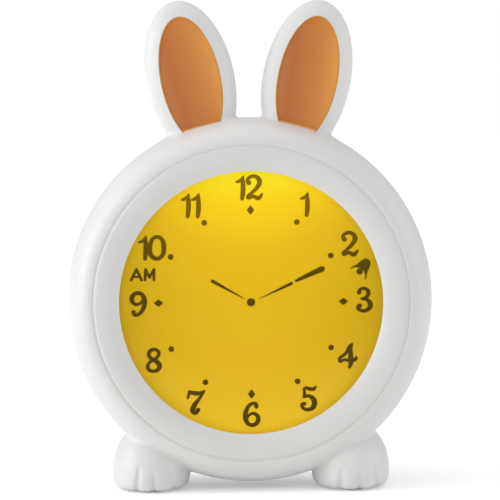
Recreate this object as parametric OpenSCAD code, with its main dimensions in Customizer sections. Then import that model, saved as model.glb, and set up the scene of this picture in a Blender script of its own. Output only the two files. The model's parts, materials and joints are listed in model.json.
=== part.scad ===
// Bunny-eared bedside clock: backlit dial, lamp windows in the ears, keys and battery door behind.
// Frame: +Z up, the dial faces -Y, origin on the table under the middle of the clock.
// Most modules draw in the dial frame: x across, y up, z out of the dial, 0 where the shells meet.

/* [Case] */
// Diameter of the round case
case_d = 140; // [130:1:150]
// Depth of the outer ring in front of the shell joint
front_depth = 17; // [16:0.5:20]
// Depth of the case behind the shell joint
back_depth = 36.5; // [35:0.5:42]
// Radial width of the rounded outer ring
ring_w = 9.4; // [8:0.1:10.5]
// Diameter of the flat on the back
back_flat_d = 96; // [94:1:100]
// Wall thickness of the two shells
wall = 2.2; // [1.8:0.1:2.6]
// Gap between the case and the table
case_lift = 2.5; // [1.5:0.5:5]
// Length of the lap where the front shell enters the rear one
lap = 1.6; // [1:0.1:2.5]

/* [Dial] */
// Diameter of the dial that shows inside the bezel
dial_d = 100.4; // [92:0.2:102]
// Gap round the bezel that shows as a fine groove
bezel_gap = 0.8; // [0.4:0.1:1.2]
// How far the bezel's crest stands in front of the outer ring
bezel_proud = 0.3; // [0:0.1:1]
// Angle at which the bezel falls to the dial
bezel_slope = 42; // [30:1:50]
// Thickness of the clear window
window_t = 1.5; // [1:0.1:2]
// Thickness of the liquid crystal cell
cell_t = 2.4; // [1.6:0.1:2.8]
// Thickness of the light guide
guide_t = 3; // [2:0.1:3.5]

/* [Ears] */
// Width of an ear
ear_w = 33.5; // [30:0.5:36]
// Length of an ear
ear_l = 61; // [56:0.5:66]
// Thickness of an ear
ear_t = 16; // [14:0.5:19]
// Distance of an ear's middle from the centre line
ear_x = 22.2; // [21:0.2:25]
// Height of an ear's middle above the top of the round case
ear_rise = 14.5; // [12:0.5:18]
// Outward lean of an ear
ear_lean = 11.8; // [8:0.2:15]
// Width of the lamp window in an ear
lens_w = 22.8; // [20:0.2:24]
// Length of the lamp window in an ear
lens_l = 49; // [44:0.5:51]
// Thickness of the lamp window
lens_t = 2.2; // [2.1:0.1:2.8]

/* [Paws] */
// Distance of a paw's middle from the centre line
paw_x = 38.4; // [36:0.2:41]
// Width of a paw
paw_w = 29.8; // [27:0.2:32]
// Reach of a paw in front of the shell joint
paw_front = 17.3; // [15:0.1:18]
// Reach of a paw behind the shell joint
paw_back = 27; // [24:1:30]
// Height at which a paw is widest
paw_waist = 7.5; // [7:0.1:9]
// Height of the rounded top of a paw above its widest level
paw_rise = 18; // [16:0.5:21]
// Depth of the grooves between the toes
groove_depth = 2; // [1:0.1:3]
// Height at which the toe grooves run out
toe_top = 13; // [9:0.5:15]
// How far the rubber pads stand out under the paws
pad_t = 0.8; // [0.5:0.1:1.5]
// Diameter of a rubber pad
pad_d = 9; // [7:0.5:11]

/* [Keys] */
// Diameter of the round keys
key_d = 9; // [7.5:0.1:9.6]
// Length of the wide lamp key
lamp_key_l = 17; // [13:0.5:18]
// Height of the keys above the back
key_proud = 1; // [0.6:0.1:1.6]
// Travel of the keys
key_travel = 0.5; // [0.3:0.05:0.6]
// Travel of the alarm slider
slider_travel = 3; // [2:0.1:3.6]

/* [Battery bay] */
// Diameter of a cell
cell_d = 10.5; // [10:0.1:11]
// Length of a cell with its cap
cell_l = 44.5; // [43:0.1:46]
// Number of cells side by side
cells = 3; // [2:1:3]
// Thickness of the battery door
door_t = 2; // [1.8:0.1:2.4]
// Radius of the door's pivot pins
pivot_r = 0.7; // [0.5:0.05:0.8]

/* [Loudspeaker] */
// Outer diameter of the loudspeaker
speaker_d = 27; // [24:0.5:28]
// Depth of the loudspeaker
speaker_t = 9; // [7:0.5:10]
// Diameter of one hole of the grille
grille_hole_d = 1.8; // [1.2:0.1:2.2]

/* [Hidden] */
$fn = 64;

// Clearances
fit_gap = 0.1;
slide_gap = 0.2;
door_gap = 0.3;
pin_gap = 0.05;
eps = 0.01;

// Case and its place
case_r = case_d / 2;
crest_r = case_r - ring_w;
flat_r = back_flat_d / 2;
dial_z = case_lift + case_r;
split_y = (max(front_depth + bezel_proud, paw_front) - back_depth - key_proud) / 2;
floor_y = -dial_z;
lap_w = wall / 2;
lap_step = 0.4;
lap_from = -28;
lap_to = 46;
joint_over = 1;

// Front stack, from the bezel back to the boards
shelf_z = front_depth - 4.2;
dial_r = dial_d / 2;
bezel_r = crest_r - 0.4 - bezel_gap;
bezel_flat_w = 1;
bezel_edge_r = 0.6;
bezel_arc_r = (bezel_r - bezel_edge_r - bezel_flat_w - dial_r) / sin(bezel_slope);
bezel_z = front_depth + bezel_proud;
window_r = dial_r + 3;
cell_r = dial_r + 6.6;
cell_z = shelf_z - wall - fit_gap - cell_t;
guide_r = dial_r + 0.4;
guide_z = cell_z - guide_t - 0.2;
reflector_t = 0.25;
holder_z = guide_z - reflector_t - fit_gap;
holder_floor = 1.8;
holder_wall = 1.4;
board_t = 1.6;
board_r = guide_r + 6;
board_z = holder_z - holder_floor - 2.6;

holder_r = cell_r + fit_gap + holder_wall;
holder_flat = holder_r * cos(22.5);
lug_r = 3;
standoff_r = board_r - 8;
strip_l = 38;
strip_w = 1.6;
strip_y = -(cell_r * cos(22.5) - strip_w / 2 - 0.2);
led_w = 3.5;
led_t = 1.2;
led_h = 1.9;
led_angles = [58, 75, 105, 122];
peg_angles = [0, 60, 120, 180, 240, 300];
peg_d = 2;
peg_r = bezel_r - 2.2;

// Small screws and the bosses they bite into
board_screw_d = 2;
board_pilot_d = 1.7;
board_screw_l = 5;
board_head_r = 1.8;
boss_d = 5;
clamp_screw_l = 3;
door_screw_l = 5;

// Screws that join the shells
post_r = crest_r + 2;
post_d = 6.4;
pilot_d = 2.3;
screw_d = 2.9;
head_d = 5.4;
head_t = 2;
tower_d = head_d + 2 * fit_gap + 2 * 1.6;
tower_top = -5;
tower_floor = 3;
post_pilot_l = 12;
housing_screw_l = tower_floor + 10;
post_angles = [45, 135, 225, 315];
holder_angles = [0, 90, 180, 270];

// Paws, with the toes spread across the front
paw_drop = paw_waist + 2.5;
groove_xs = [-0.5 * paw_w / 2, 0, 0.5 * paw_w / 2];
groove_w = 1.5;
paw_hollow_r = 6;
paw_hollow_rise = 5;
paw_toe_wall = 5;
paw_heel_wall = 9;
paw_hollow_front = paw_front - paw_toe_wall;
paw_hollow_back = paw_heel_wall - paw_back;
paw_cols = 40;
paw_rows = 16;
pad_sink = 0.6;
pad_front_z = 7;
pad_back_z = -14;

// Ears and lamp windows
ear_y = case_r + ear_rise;
ear_wall = 2;
lens_sink = 0.6;
lens_seat = ear_wall + 0.05;
lens_back = lens_sink + lens_t;
lens_flange = 1.4;
ear_post_y = 12;
ear_board_t = 1;

// Battery bay, in the back of the rear shell
cell_pitch = cell_d + 0.8;
spring_l = 4.6;
spring_r0 = 3.8;
spring_r1 = 2.2;
spring_turns = 4;
spring_wire_r = 0.35;
contact_t = 0.4;
bay_w = cell_l + spring_l + 2 * contact_t + 0.3;
bay_h = cells * cell_pitch + 0.6;
bay_y = -18.5;
bay_wall = 1.6;
bay_rim = 1.8;
bay_top = bay_y + bay_h / 2;
door_w = bay_w + 2 * bay_rim;
door_h = bay_h + 2 * bay_rim;
door_tab_r = 3.6;
door_tab_y = bay_y + door_h / 2 + 0.8;
pivot_y = bay_y - door_h / 2 + door_t / 2;
pivot_z = -back_depth + door_t / 2;
pivot_l = door_gap + bay_wall;
cell_axis_z = -back_depth + door_t + 0.5 + cell_d / 2;
bay_floor_z = cell_axis_z + cell_d / 2 + 0.3;

door_seat_z = -back_depth + door_t + 0.15;
ledge_t = 1.6;
door_boss_r = 2.8;

// Keys on the back, all on one small board
key_y = 12.5;
key_space = 5;
key_x = (lamp_key_l + key_d) / 2 + key_space - 1.5;
key_pitch = key_d + key_space;
key_flange = 1;
key_flange_t = 1;
inner_back_z = -back_depth + wall;
key_board_z = -back_depth + 11;
switch_a = 6;
switch_h = 3.5;
plunger_r = 1.7;
plunger_h = 0.8;
plunger_z = key_board_z - board_t - switch_h - plunger_h;
key_board_x = key_x + key_pitch + key_d / 2 + 6.5;
key_board_h = 10;
slider_r = flat_r - 7;
slider_angle = 138.7;
slider_x = slider_r * cos(slider_angle);
slider_y = slider_r * sin(slider_angle);
slider_knob_l = 3.6;
slider_slot = [slider_travel + slider_knob_l + 0.6, 3.4];
key_board_screws = [
    [-key_board_x + 3, key_y], [key_board_x - 3, key_y], [slider_x, slider_y + 6]
];

// Loudspeaker behind its grille
speaker_r = speaker_d / 2;
seat_r = speaker_r + fit_gap + 1.4;
speaker_y = key_y + key_d / 2 + key_flange + seat_r + 0.6;
grille_r = speaker_r - 3;
speaker_rim_z = inner_back_z + 1;
speaker_flange_t = 1.2;
clamp_x = speaker_r + 3.6;
clamp_z = speaker_rim_z + speaker_flange_t;
clamp_t = 0.8;
grille_pitch = grille_hole_d + 1;
grille_rings = floor(grille_r / grille_pitch);
cone_r = speaker_r - 3.6;
coil_r = 3;
magnet_t = 4;
magnet_r = 7;

// Inlet for the power lead
socket_x = 37;
socket_y = -14;
socket = [3.2, 8.9, 7.3];
socket_z = -back_depth + 0.4;
socket_board = [1.2, 16, 17];
socket_board_x = socket_x + socket[0] / 2;
socket_board_z = inner_back_z + 0.2;

// Parts on the main board
chip_a = 14;
chip_t = 1.8;
capacitor_d = 6.3;
capacitor_h = 8;
connector_w = 7.4;
connector_d = 4.4;
connector_h = 6;
connector_xs = [-12, 0, 12];
connector_y = 30;
capacitor_xs = [-24, -14];
capacitor_y = 12;
chip_y = -14;

// Places that repeat
key_names = ["lamp", "hour", "minute", "set", "alarm"];
key_xs = [0, -key_x, key_x, -key_x - key_pitch, key_x + key_pitch];
function key_place(i) = [key_xs[i], key_y];
function ear_depth(y, inset) = (ear_t / 2 - inset) * sqrt(1 - pow(y / (ear_l / 2 - inset), 2));
function polar(r, a) = [r * cos(a), r * sin(a)];

// Frames
module dial_frame() translate([0, split_y, dial_z]) rotate([90, 0, 0]) children();

module ear_frame(side)
    translate([side * ear_x, ear_y, 0]) rotate([0, 0, -side * ear_lean]) children();

module paw_frame(side) translate([side * paw_x, floor_y, 0]) children();

module at_posts(angles, r = post_r)
    for (a = angles) translate([polar(r, a)[0], polar(r, a)[1], 0]) children();

module each_side() for (side = [-1, 1]) let ($side = side) children();

// Half spaces that split the shells at z = 0
module half_space(front)
    translate([-case_d, -2 * case_d, front ? 0 : -2 * case_d]) cube([2 * case_d, 4 * case_d, 2 * case_d]);

// Basic forms
module ellipsoid(a, b, c) scale([a, b, c]) sphere(1);

module rod(r, z0, z1) translate([0, 0, z0]) cylinder(r = r, h = z1 - z0);

module block(size_x, size_y, z0, z1)
    translate([-size_x / 2, -size_y / 2, z0]) cube([size_x, size_y, z1 - z0]);

module quarter_ellipse(r0, a, b)
    intersection() {
        translate([r0, 0]) scale([a, b]) circle(1);
        translate([r0, 0]) square([a + 1, b + 1]);
    }

// Case: solid of revolution in front of and behind the shell joint, with its surface moved in by inset
module ring_section(inset) quarter_ellipse(crest_r, ring_w - inset, front_depth - inset);

module bowl_section(inset) {
    mirror([0, 1]) quarter_ellipse(flat_r, case_r - flat_r - inset, back_depth - inset);
    translate([0, -back_depth + inset]) square([flat_r + eps, back_depth - inset]);
}

module front_case_outer()
    rotate_extrude($fn = 128) {
        ring_section(0);
        translate([0, -joint_over]) square([case_r, joint_over]);
        translate([crest_r - 0.4, shelf_z - wall]) square([1, front_depth - shelf_z + wall - 0.3]);
        translate([window_r + 0.2, shelf_z - wall]) square([crest_r - window_r, wall]);
        square([crest_r + eps, shelf_z - wall]);
    }

module front_case_inner()
    rotate_extrude($fn = 128) {
        intersection() {
            ring_section(wall);
            translate([crest_r + wall - 0.4, -eps]) square([case_r, front_depth]);
        }
        translate([0, -2 * joint_over]) square([crest_r + wall, shelf_z - wall + 2 * joint_over]);
        translate([0, -2 * joint_over]) square([case_r - wall, 2 * joint_over + eps]);
    }

module rear_case_outer()
    rotate_extrude($fn = 128) {
        bowl_section(0);
        square([case_r, joint_over]);
    }

module rear_case_inner()
    rotate_extrude($fn = 128) {
        bowl_section(wall);
        translate([0, -eps]) square([case_r - wall, 2 * joint_over]);
    }

// Ears and paws
module ears(inset)
    each_side() ear_frame($side) ellipsoid(ear_w / 2 - inset, ear_l / 2 - inset, ear_t / 2 - inset);

module ellipse(a, b) scale([a, b]) circle(1);

module lens_windows() each_side() ear_frame($side) linear_extrude(ear_t) ellipse(lens_w / 2, lens_l / 2);

// The rear half of a paw, which is taller above its widest level than below it
module paw_body()
    translate([0, paw_waist, 0]) {
        intersection() {
            ellipsoid(paw_w / 2, paw_rise, paw_back);
            translate([-paw_w, 0, -2 * paw_back]) cube([2 * paw_w, 2 * paw_rise, 4 * paw_back]);
        }
        intersection() {
            ellipsoid(paw_w / 2, paw_drop, paw_back);
            translate([-paw_w, -2 * paw_rise, -2 * paw_back]) cube([2 * paw_w, 2 * paw_rise, 4 * paw_back]);
        }
    }

// How much the grooves between the toes take off the paw at a point of its surface
function groove_at(p) =
    let (rise = max(0, min(1, (toe_top - paw_waist - p[1]) / toe_top)), fan = 1 - 0.02 * (p[1] + paw_waist))
    groove_depth * rise * max(0, p[2]) / paw_front *
    max([for (x = groove_xs) exp(-pow((p[0] / fan - x) / groove_w, 2))]);

// A point of the paw's front, seen from its middle: turn 0 looks out of the dial, tilt 90 looks up
function paw_point(turn, tilt) =
    let (d = [sin(turn) * cos(tilt), sin(tilt), cos(turn) * cos(tilt)],
         scaled = [2 * d[0] / paw_w, d[1] / (tilt > 0 ? paw_rise : paw_drop), d[2] / paw_front],
         p = d / norm(scaled))
    p - d * groove_at(p) + [0, paw_waist, 0];

// The front of a paw with its toes; the last column closes it behind the shell joint
module toed_paw() {
    step = 180 / paw_cols;
    turns = concat([for (i = [0 : paw_cols + 1]) -90 - step / 2 + step * i], [180]);
    tilts = [for (j = [1 : paw_rows - 1]) -90 + 180 * j / paw_rows];
    cols = len(turns);
    rows = len(tilts);
    points = concat(
        [for (turn = turns) for (tilt = tilts) paw_point(turn, tilt)],
        [paw_point(0, -90), paw_point(0, 90)]
    );
    skin = [for (i = [0 : cols - 1]) let (k = (i + 1) % cols) for (j = [0 : rows - 2])
        [i * rows + j, i * rows + j + 1, k * rows + j + 1, k * rows + j]];
    ends = [for (i = [0 : cols - 1]) let (k = (i + 1) % cols) each
        [[i * rows, k * rows, cols * rows], [i * rows + rows - 1, cols * rows + 1, k * rows + rows - 1]]];
    polyhedron(points, concat(skin, ends));
}

// Round hollow along a paw, which opens into the case
module paw_hollows()
    each_side() paw_frame($side) translate([0, paw_waist + paw_hollow_rise, 0])
        rod(paw_hollow_r, paw_hollow_back, paw_hollow_front);

module below(height) translate([-case_d, floor_y - 20, -case_d]) cube([2 * case_d, 20 + height, 2 * case_d]);

module paws(with_toes)
    difference() {
        each_side() paw_frame($side) {
            if (with_toes) toed_paw(); else paw_body();
        }
        below(pad_t);
    }

// One shell of the case: half of every outer form, less half of every inner form
module shell_skin(front)
    difference() {
        intersection() {
            union() {
                if (front) front_case_outer(); else rear_case_outer();
                difference() {
                    ears(0);
                    if (front) lens_windows();
                }
                paws(front);
            }
            half_space(front);
        }
        if (front) front_case_inner(); else rear_case_inner();
        ears(ear_wall);
        paw_hollows();
    }

// Rubber pads, two under each paw, let into the shells by pad_sink
module at_pads(z_places)
    each_side() paw_frame($side)
        for (z = z_places) translate([0, 0, z]) rotate([-90, 0, 0]) children();

// Front shell ---------------------------------------------------------------------------------
module front_housing()
    color("white") dial_frame() difference() {
        union() {
            shell_skin(true);
            lap_ring(0);
            at_posts(post_angles) rod(post_d / 2, tower_top + fit_gap, shelf_z - wall / 2);
            at_posts(holder_angles) rod(boss_d / 2, holder_z + fit_gap, shelf_z - wall / 2);
        }
        at_posts(post_angles) rod(pilot_d / 2, tower_top - 1, tower_top + post_pilot_l);
        at_posts(holder_angles) rod(board_pilot_d / 2, holder_z - 1, holder_z + board_screw_l);
        at_posts(peg_angles, peg_r) rod(peg_d / 2 + fit_gap, shelf_z - wall - 1, shelf_z + 1);
        at_pads([pad_front_z]) rod(pad_d / 2 + fit_gap, 0, pad_t + pad_sink);
    }

// Rear shell ----------------------------------------------------------------------------------
// Tongue of the front shell inside the rear one, down both sides between the ears and the paws
module lap_ring(gap)
    for (start = [lap_from, 180 - lap_to])
        rotate([0, 0, start]) translate([0, 0, -lap - gap])
            rotate_extrude(angle = lap_to - lap_from, $fn = 128)
                translate([case_r - wall - lap_step - gap, 0])
                    square([lap_step + lap_w + 2 * gap, lap + wall]);

module rear_housing()
    color("white") dial_frame() difference() {
        union() {
            shell_skin(false);
            intersection() {
                at_posts(post_angles) rod(tower_d / 2, -back_depth, tower_top);
                rear_case_outer();
            }
            bay_block();
            speaker_seat();
            board_posts();
            socket_rails();
            ear_posts();
        }
        at_posts(post_angles) rod(head_d / 2 + fit_gap, -back_depth - 1, tower_top - tower_floor);
        at_posts(post_angles) rod(screw_d / 2 + fit_gap, -back_depth, tower_top + 1);
        intersection() {
            lap_ring(fit_gap);
            half_space(false);
        }
        bay_cuts();
        key_holes();
        grille_holes();
        board_pilots();
        socket_cuts();
        at_pads([pad_back_z]) rod(pad_d / 2 + fit_gap, 0, pad_t + pad_sink);
    }

module bay_block() {
    translate([0, bay_y, 0]) {
        block(door_w + 2 * (door_gap + bay_wall), door_h + 2 * (door_gap + bay_wall),
            -back_depth + wall / 2, door_seat_z + ledge_t);
        block(bay_w + 2 * bay_wall, bay_h + 2 * bay_wall, -back_depth + wall / 2, bay_floor_z + bay_wall);
    }
    translate([0, door_tab_y, 0])
        rod(door_tab_r + door_gap + 1, -back_depth + wall / 2, door_seat_z + ledge_t);
    translate([0, door_tab_y, 0]) rod(door_boss_r, door_seat_z, door_seat_z + door_screw_l + 1);
}

module bay_cuts() {
    translate([0, bay_y, 0]) {
        block(door_w + 2 * door_gap, door_h + 2 * door_gap, -back_depth - 1, door_seat_z);
        block(bay_w, bay_h, -back_depth - 1, bay_floor_z);
    }
    translate([0, door_tab_y, 0]) {
        rod(door_tab_r + door_gap, -back_depth - 1, door_seat_z);
        rod(board_pilot_d / 2, door_seat_z - 1, door_seat_z + door_screw_l);
    }
    translate([0, pivot_y, pivot_z]) rotate([0, 90, 0])
        translate([0, 0, -door_w / 2 - pivot_l - fit_gap])
            cylinder(r = pivot_r + pin_gap, h = door_w + 2 * (pivot_l + fit_gap));
}

module key_holes() {
    for (i = [0 : len(key_names) - 1]) translate([key_place(i)[0], key_place(i)[1], 0])
        linear_extrude_between(-back_depth - 1, inner_back_z + 1) key_outline(i, slide_gap);
    translate([slider_x, slider_y, 0]) stadium(slider_slot[0], slider_slot[1], -back_depth - 1, inner_back_z + 1);
}

module grille_holes()
    translate([0, speaker_y, 0])
        for (ring = [0 : grille_rings]) for (i = [0 : max(0, 6 * ring - 1)])
            translate([polar(ring * grille_pitch, i * 60 / max(1, ring))[0],
                       polar(ring * grille_pitch, i * 60 / max(1, ring))[1], 0])
                rod(grille_hole_d / 2, -back_depth - 1, inner_back_z + 1);

module speaker_seat()
    translate([0, speaker_y, 0]) {
        difference() {
            rod(seat_r, inner_back_z - wall / 2, speaker_rim_z + speaker_flange_t);
            rod(speaker_r + fit_gap, speaker_rim_z, speaker_rim_z + speaker_t);
            rod(speaker_r - 1.6, inner_back_z, speaker_rim_z + speaker_t);
        }
        each_side() translate([$side * clamp_x, 0, 0])
            rod(2.4, inner_back_z - wall / 2, speaker_rim_z + speaker_flange_t);
    }

module board_posts()
    for (place = key_board_screws) translate([place[0], place[1], 0])
        rod(2.3, inner_back_z - wall / 2, key_board_z - board_t);

module board_pilots() {
    for (place = key_board_screws) translate([place[0], place[1], 0])
        rod(board_pilot_d / 2, key_board_z - board_t - board_screw_l, key_board_z);
    each_side() translate([$side * clamp_x, speaker_y, 0])
        rod(board_pilot_d / 2, speaker_rim_z + speaker_flange_t - clamp_screw_l, speaker_rim_z + speaker_t);
}

module socket_rails()
    for (end = [-1, 1])
        translate([socket_board_x + socket_board[0] / 2, socket_y + end * socket_board[1] / 2, 0])
            block(4, 3, inner_back_z - wall / 2, inner_back_z + socket_board[2] - 2);

module socket_cuts() {
    translate([socket_x, socket_y, 0]) rotate([0, 0, 90])
        stadium(socket[1] + 2 * slide_gap, socket[0] + 2 * slide_gap, -back_depth - 1, inner_back_z + 1);
    translate([socket_board_x - fit_gap, socket_y - socket_board[1] / 2 - fit_gap, socket_board_z])
        cube([socket_board[0] + 2 * fit_gap, socket_board[1] + 2 * fit_gap, socket_board[2] + 1]);
}

module ear_posts()
    each_side() ear_frame($side)
        for (y = [-ear_post_y, ear_post_y]) translate([0, y, 0])
            rod(2, -ear_depth(y, ear_wall / 2), -ear_board_t - fit_gap);

// Dial ----------------------------------------------------------------------------------------
module dial_bezel()
    color("whitesmoke") dial_frame() {
        difference() {
            rotate_extrude($fn = 128) bezel_section();
            translate([0, 0, shelf_z - 1])
                difference() {
                    rod(bezel_r - 2, 0, 2.6);
                    rod(window_r + 2, -1, 4);
                }
        }
        at_posts(peg_angles, peg_r) rod(peg_d / 2, shelf_z - wall, shelf_z + 2);
    }

// Flat crest, then an arc that falls to the dial
module bezel_section() {
    crest_in = bezel_r - bezel_edge_r - bezel_flat_w;
    polygon(concat(
        [[dial_r, shelf_z], [bezel_r, shelf_z]],
        [for (a = [0 : 15 : 90])
            [bezel_r - bezel_edge_r * (1 - cos(a)), bezel_z - bezel_edge_r * (1 - sin(a))]],
        [for (i = [0 : 12])
            [crest_in - bezel_arc_r * sin(bezel_slope * i / 12),
             bezel_z - bezel_arc_r * (1 - cos(bezel_slope * i / 12))]]
    ));
}

module dial_window()
    color("lightcyan", 0.4) dial_frame() rod(window_r, shelf_z - window_t, shelf_z);

module lcd_cell()
    color("gold") dial_frame() translate([0, 0, cell_z]) octagon(cell_r, cell_t);

module octagon(r, h) rotate([0, 0, 22.5]) linear_extrude(h) circle(r, $fn = 8);

module light_guide() color("ivory") dial_frame() rod(guide_r, guide_z, guide_z + guide_t);

module reflector_sheet()
    color("white") dial_frame() rod(guide_r, guide_z - reflector_t, guide_z);

module lcd_holder()
    color("gainsboro") dial_frame() difference() {
        union() {
            translate([0, 0, holder_z - holder_floor])
                octagon(holder_r, cell_z + cell_t - holder_z + holder_floor);
            at_posts(holder_angles) rod(lug_r, holder_z - holder_floor, holder_z);
            for (a = holder_angles) rotate([0, 0, a])
                translate([holder_flat - 2, -lug_r, holder_z - holder_floor])
                    cube([post_r - holder_flat + 2, 2 * lug_r, holder_floor]);
            at_posts(post_angles, standoff_r) rod(2.6, board_z, holder_z - holder_floor / 2);
        }
        translate([0, 0, cell_z]) octagon(cell_r + fit_gap, cell_t + 1);
        rod(guide_r + fit_gap, holder_z, cell_z + 1);
        at_posts(holder_angles) rod(board_screw_d / 2 + fit_gap, 0, holder_z + 1);
        at_posts(post_angles, standoff_r) rod(board_pilot_d / 2, board_z - 1, board_z + board_screw_l - board_t);
        translate([0, strip_y, 0]) block(strip_l + 2 * fit_gap, strip_w + 2 * fit_gap, 0, cell_z + 1);
        at_leds() block(led_w + 2 * fit_gap, led_t + 2 * fit_gap, holder_z, cell_z + 1);
    }

module at_leds()
    for (a = led_angles) rotate([0, 0, a - 90]) translate([0, guide_r + fit_gap + led_t / 2 + 0.05, 0]) children();

module contact_strip()
    color("dimgray") dial_frame() translate([0, strip_y, 0]) block(strip_l, strip_w, board_z, cell_z);

module backlight_leds()
    color("lightyellow") dial_frame() at_leds() block(led_w, led_t, holder_z, guide_z + guide_t);

// Ears ----------------------------------------------------------------------------------------
module ear_lens(side)
    color("darkorange") dial_frame() difference() {
        ear_frame(side) {
            lens_layer(lens_sink, -fit_gap);
            lens_layer(lens_seat, lens_flange);
        }
        rotate_extrude($fn = 128) {
            ring_section(-fit_gap);
            square([crest_r + eps, front_depth + fit_gap]);
        }
    }

// The part of the window from a depth under the ear's face to the window's back, with its edge moved by grow
module lens_layer(depth, grow)
    intersection() {
        difference() {
            ellipsoid(ear_w / 2 - depth, ear_l / 2 - depth, ear_t / 2 - depth);
            ellipsoid(ear_w / 2 - lens_back, ear_l / 2 - lens_back, ear_t / 2 - lens_back);
        }
        linear_extrude(ear_t) ellipse(lens_w / 2 + grow, lens_l / 2 + grow);
    }

module ear_lens_left() ear_lens(-1);
module ear_lens_right() ear_lens(1);

module ear_board(side)
    color("seagreen") dial_frame() ear_frame(side)
        translate([0, 0, -ear_board_t]) linear_extrude(ear_board_t) ellipse(lens_w / 2 - 1.5, lens_l / 2 - 2);

module ear_board_left() ear_board(-1);
module ear_board_right() ear_board(1);

module ear_leds(side)
    color("lightyellow") dial_frame() ear_frame(side)
        for (y = [-ear_post_y, 0, ear_post_y]) translate([0, y, 0]) block(led_w, led_w * 0.8, 0, led_h);

module ear_leds_left() ear_leds(-1);
module ear_leds_right() ear_leds(1);

// Boards --------------------------------------------------------------------------------------
module main_board()
    color("seagreen") dial_frame() difference() {
        rod(board_r, board_z - board_t, board_z);
        at_posts(post_angles, standoff_r) rod(board_screw_d / 2 + fit_gap, board_z - board_t - 1, board_z + 1);
        for (a = holder_angles) rotate([0, 0, a]) translate([post_r, 0, 0])
            rod(lug_r + 4, board_z - board_t - 1, board_z + 1);
    }

module main_chip()
    color("black") dial_frame() translate([0, chip_y, 0])
        block(chip_a, chip_a, board_z - board_t - chip_t, board_z - board_t);

module capacitors()
    color("silver") dial_frame()
        for (x = capacitor_xs) translate([x, capacitor_y, 0])
            rod(capacitor_d / 2, board_z - board_t - capacitor_h, board_z - board_t);

module connectors()
    color("ivory") dial_frame()
        for (x = connector_xs) translate([x, connector_y, 0])
            difference() {
                block(connector_w, connector_d, board_z - board_t - connector_h, board_z - board_t);
                block(connector_w - 1.6, connector_d - 1.6,
                    board_z - board_t - connector_h - 1, board_z - board_t - 1.2);
            }

module key_board()
    color("seagreen") dial_frame() difference() {
        union() {
            translate([0, key_y, 0])
                block(2 * key_board_x, key_board_h, key_board_z - board_t, key_board_z);
            translate([slider_x, (key_y + slider_y + 9) / 2, 0])
                block(2 * (key_board_x + slider_x), slider_y + 9 - key_y, key_board_z - board_t, key_board_z);
        }
        for (place = key_board_screws) translate([place[0], place[1], 0])
            rod(board_screw_d / 2 + fit_gap, key_board_z - board_t - 1, key_board_z + 1);
    }

module switch_bodies()
    color("dimgray") dial_frame()
        for (i = [0 : len(key_names) - 1]) translate([key_place(i)[0], key_place(i)[1], 0])
            difference() {
                block(switch_a, switch_a, key_board_z - board_t - switch_h, key_board_z - board_t);
                rod(plunger_r + fit_gap, key_board_z - board_t - switch_h - 1, key_board_z - board_t - 0.6);
            }

// Keys ----------------------------------------------------------------------------------------
module key_outline(i, grow)
    if (i == 0) {
        square([lamp_key_l - key_d, key_d + 2 * grow], center = true);
        for (end = [-1, 1]) translate([end * (lamp_key_l - key_d) / 2, 0]) circle(key_d / 2 + grow);
    } else {
        circle(key_d / 2 + grow);
    }

module linear_extrude_between(z0, z1) translate([0, 0, z0]) linear_extrude(z1 - z0) children();

module key(i)
    color("white") dial_frame() translate([key_place(i)[0], key_place(i)[1], 0]) {
        linear_extrude_between(-back_depth - key_proud, inner_back_z + fit_gap) key_outline(i, 0);
        linear_extrude_between(inner_back_z + fit_gap, inner_back_z + fit_gap + key_flange_t)
            key_outline(i, key_flange);
        rod(2, inner_back_z + fit_gap, plunger_z);
    }

module plunger(i)
    color("black") dial_frame() translate([key_place(i)[0], key_place(i)[1], 0])
        rod(plunger_r, plunger_z, plunger_z + plunger_h + 1.6);

module lamp_key() key(0);
module hour_key() key(1);
module minute_key() key(2);
module set_key() key(3);
module alarm_key() key(4);
module lamp_plunger() plunger(0);
module hour_plunger() plunger(1);
module minute_plunger() plunger(2);
module set_plunger() plunger(3);
module alarm_plunger() plunger(4);

module alarm_slider()
    color("gray") dial_frame() translate([slider_x - slider_travel / 2, slider_y, 0]) {
        stadium(slider_knob_l, slider_slot[1] - 2 * slide_gap, -back_depth - key_proud, inner_back_z + fit_gap);
        block(slider_slot[0] + slider_travel + 1, slider_slot[1] + 2,
            inner_back_z + fit_gap, inner_back_z + fit_gap + key_flange_t);
    }

module slider_lever()
    color("black") dial_frame() translate([slider_x - slider_travel / 2, slider_y, 0])
        block(2, 2, inner_back_z + fit_gap + key_flange_t, key_board_z - board_t - 1);

module slider_switch()
    color("silver") dial_frame() translate([slider_x, slider_y, 0])
        difference() {
            block(slider_travel + 6, 4.4, key_board_z - board_t - switch_h, key_board_z - board_t);
            block(slider_travel + 2 + 2 * slide_gap, 2 + 2 * slide_gap,
                key_board_z - board_t - switch_h - 1, key_board_z - board_t - 0.8);
        }

// Battery bay ---------------------------------------------------------------------------------
module battery_door()
    color("white") dial_frame() difference() {
        union() {
            translate([-door_w / 2, pivot_y, -back_depth]) cube([door_w, door_h - door_t / 2, door_t]);
            translate([0, pivot_y, pivot_z]) rotate([0, 90, 0]) {
                translate([0, 0, -door_w / 2]) cylinder(r = door_t / 2, h = door_w);
                translate([0, 0, -door_w / 2 - pivot_l]) cylinder(r = pivot_r, h = door_w + 2 * pivot_l);
            }
            translate([0, door_tab_y, 0]) rod(door_tab_r, -back_depth, -back_depth + door_t);
        }
        translate([0, door_tab_y, 0]) {
            rod(screw_d / 2 + fit_gap, -back_depth - 1, -back_depth + door_t + 1);
            rod(head_d / 2 + fit_gap, -back_depth - 1, -back_depth + door_t - 1);
        }
    }

module screw(head_r, head_h, shank_r, length) {
    difference() {
        rod(head_r, -head_h, 0);
        for (a = [0, 90]) rotate([0, 0, a]) block(head_r * 1.2, 0.7, -head_h - 1, -head_h / 2);
    }
    rod(shank_r, 0, length);
}

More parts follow.
